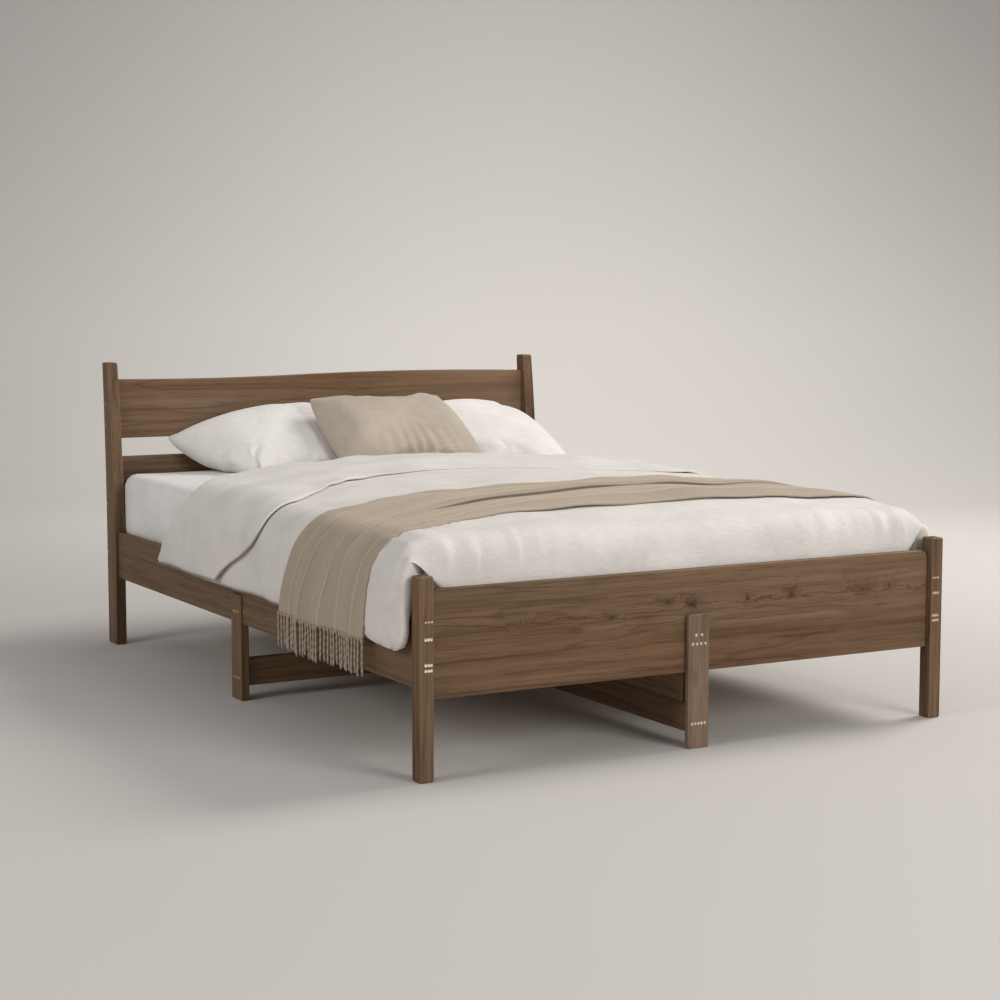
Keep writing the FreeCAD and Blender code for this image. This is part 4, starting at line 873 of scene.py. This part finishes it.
SIM_FRAMES, SIM_PRESSURE, MOST_SWELL = 20, 3.0, 0.022
STUFFED_STEP, START_SHARE = 0.010, 0.92
PLEAT_FAN = 0.034
REST_CLEAR, REST_EASE = 0.001, 0.02
PILLOW_TILT, CUSHION_TILT = math.radians(35), math.radians(43)


def soft_floor(value, limit, ease):
    """Keeps values above a limit, flattening gently over the last stretch."""
    over = value - limit
    return limit + np.where(over > ease, over, ease / 4 * np.clip(1 + over / ease, 0, 2) ** 2)


def envelope(size, waist, ends, corners, knife, left, right):
    """Two crowned faces of cloth sewn together round the edge: points and faces.

    The edges draw in by the waist between the corners; higher ends give fuller ends, higher corners
    sharper corners, a higher knife thinner edges. left and right hold how far that end draws in at its
    lower and at its upper corner, and how far it sags."""
    width, depth, thickness = size
    a = np.linspace(-1, 1, int(width / STUFFED_STEP) + 1)[:, None]
    b = np.linspace(-1, 1, int(depth / STUFFED_STEP) + 1)[None, :]
    ring = (np.abs(a) ** corners + np.abs(b) ** corners) ** (1 / corners)
    ease = np.maximum(np.abs(a), np.abs(b)) / np.maximum(ring, TINY)
    x = a * ease * width / 2
    sag = 0 * x
    for side, (lower, upper, droop) in ((-1, left), (1, right)):
        near = smooth(side * a, 0.3, 1.0)
        draw = lower * ((1 - b) / 2) ** 1.3 + upper * ((1 + b) / 2) ** 2 + waist * (1 - b ** 2)
        x = x - side * near * draw
        sag = sag + droop * smooth(side * a, -0.1, 1.0) ** 1.6 * (1 + b) / 2
    y = b * ease * (depth / 2 - waist * (1 - a ** 2)) - 0.35 * sag
    fullness = np.clip(1 - np.abs(a) ** ends, 0, 1) * np.clip(1 - np.abs(b) ** 2.6, 0, 1)
    crown = thickness / 2 * fullness ** knife
    front = np.stack([x, y, crown - sag], axis=-1).reshape(-1, 3)
    back = np.stack([x, y, -crown - sag], axis=-1).reshape(-1, 3)
    quads = np.array(grid_faces(a.size, b.size))
    return np.concatenate([front, back]), quads.tolist() + (quads[:, ::-1] + len(front)).tolist()


def inflate(piece):
    """Points of a sewn cover swollen by cloth simulation; none moves further than MOST_SWELL."""
    before = np.array([vertex.co for vertex in piece.data.vertices])
    sim = piece.modifiers.new("cloth", "CLOTH")
    sim.settings.quality = 6
    sim.settings.mass = 0.25
    sim.settings.tension_stiffness = sim.settings.compression_stiffness = 15.0
    sim.settings.shear_stiffness = 6.0
    sim.settings.bending_stiffness = 0.3
    sim.settings.use_pressure = True
    sim.settings.uniform_pressure_force = SIM_PRESSURE
    sim.settings.effector_weights.gravity = 0
    sim.collision_settings.use_collision = False
    sim.point_cache.frame_end = SIM_FRAMES
    for number in range(1, SIM_FRAMES + 1):
        scene.frame_set(number)
    shaped = piece.evaluated_get(bpy.context.evaluated_depsgraph_get())
    after = np.zeros(before.size)
    shaped.data.vertices.foreach_get("co", after)
    piece.modifiers.remove(sim)
    scene.frame_set(1)
    move = after.reshape(-1, 3) - before
    far = np.linalg.norm(move, axis=1)[:, None]
    return before + move * np.minimum(1, MOST_SWELL / np.maximum(far, TINY))


def stuffed(name, node, size, place, tilt, lean, form, left, right, pleats):
    """A stuffed cover in the place of a CAD pillow, leaned back and flattened where it rests."""
    low, high = span(node)
    points, faces = envelope(np.array(size) * (1, 1, START_SHARE), *form, left, right)
    material, slot = pillow_cloth, "pillow_cotton"
    if node == "cushion":
        material, slot = cushion_cloth, "cushion_linen"
    piece = new_piece(name, points, faces, material, node, slot, node)
    merged(piece)
    points = np.array([vertex.co for vertex in piece.data.vertices])
    points = inflate(piece)
    points[:, :2] *= np.array(size[:2]) / np.ptp(points[:, :2], axis=0)
    points[:, :2] -= (points[:, :2].min(axis=0) + points[:, :2].max(axis=0)) / 2
    a, b = points[:, 0] / size[0] * 2, points[:, 1] / size[1] * 2
    fan = np.sin(points[:, 0] * (1.0 + 0.25 * b) * math.tau / PLEAT_FAN + 0.8 * np.sin(9 * a))
    gather = smooth(-b, -0.1, 0.5) * smooth(1.0 + b, 0.0, 0.2) * np.exp(-((a - 0.1) / 0.45) ** 2)
    points[:, 2] += np.sign(points[:, 2]) * pleats * gather * fan
    x, y, z = points.T
    turned = np.stack([x - lean * y, y * math.cos(tilt) - z * math.sin(tilt),
                       y * math.sin(tilt) + z * math.cos(tilt)], axis=-1)
    turned += (low + high) / 2
    turned[:, 0] += place[0] - (low[0] + high[0]) / 2
    turned[:, 2] += place[1] - turned[:, 2].max()
    turned[:, 2] = soft_floor(turned[:, 2], low[2] + REST_CLEAR, REST_EASE)
    turned[:, 1] = -soft_floor(-turned[:, 1], REST_CLEAR - high[1], REST_EASE)
    piece.data.vertices.foreach_set("co", turned.reshape(-1))
    piece.data.update()
    finer = piece.modifiers.new("finer", "SUBSURF")
    finer.levels = finer.render_levels = 1


stuffed("pillow_left_cover", "pillow_left", size=(0.58, 0.37, 0.14), place=(-0.262, 0.724),
        tilt=PILLOW_TILT, lean=0.0, form=(0.010, 6, 14, 0.55),
        left=(0.19, 0.0, 0.072), right=(0.03, 0.03, 0.0), pleats=0.0)
stuffed("pillow_right_cover", "pillow_right", size=(0.685, 0.375, 0.14), place=(0.398, 0.720),
        tilt=PILLOW_TILT, lean=0.0, form=(0.006, 6, 14, 0.55),
        left=(0.03, 0.03, 0.0), right=(-0.03, 0.035, 0.035), pleats=0.0)
stuffed("cushion_cover", "cushion", size=(0.49, 0.345, 0.115), place=(0.092, 0.753),
        tilt=CUSHION_TILT, lean=0.13, form=(-0.018, 4, 36, 0.75),
        left=(0.0, -0.008, 0.0), right=(0.0, 0.008, 0.0), pleats=0.0045)
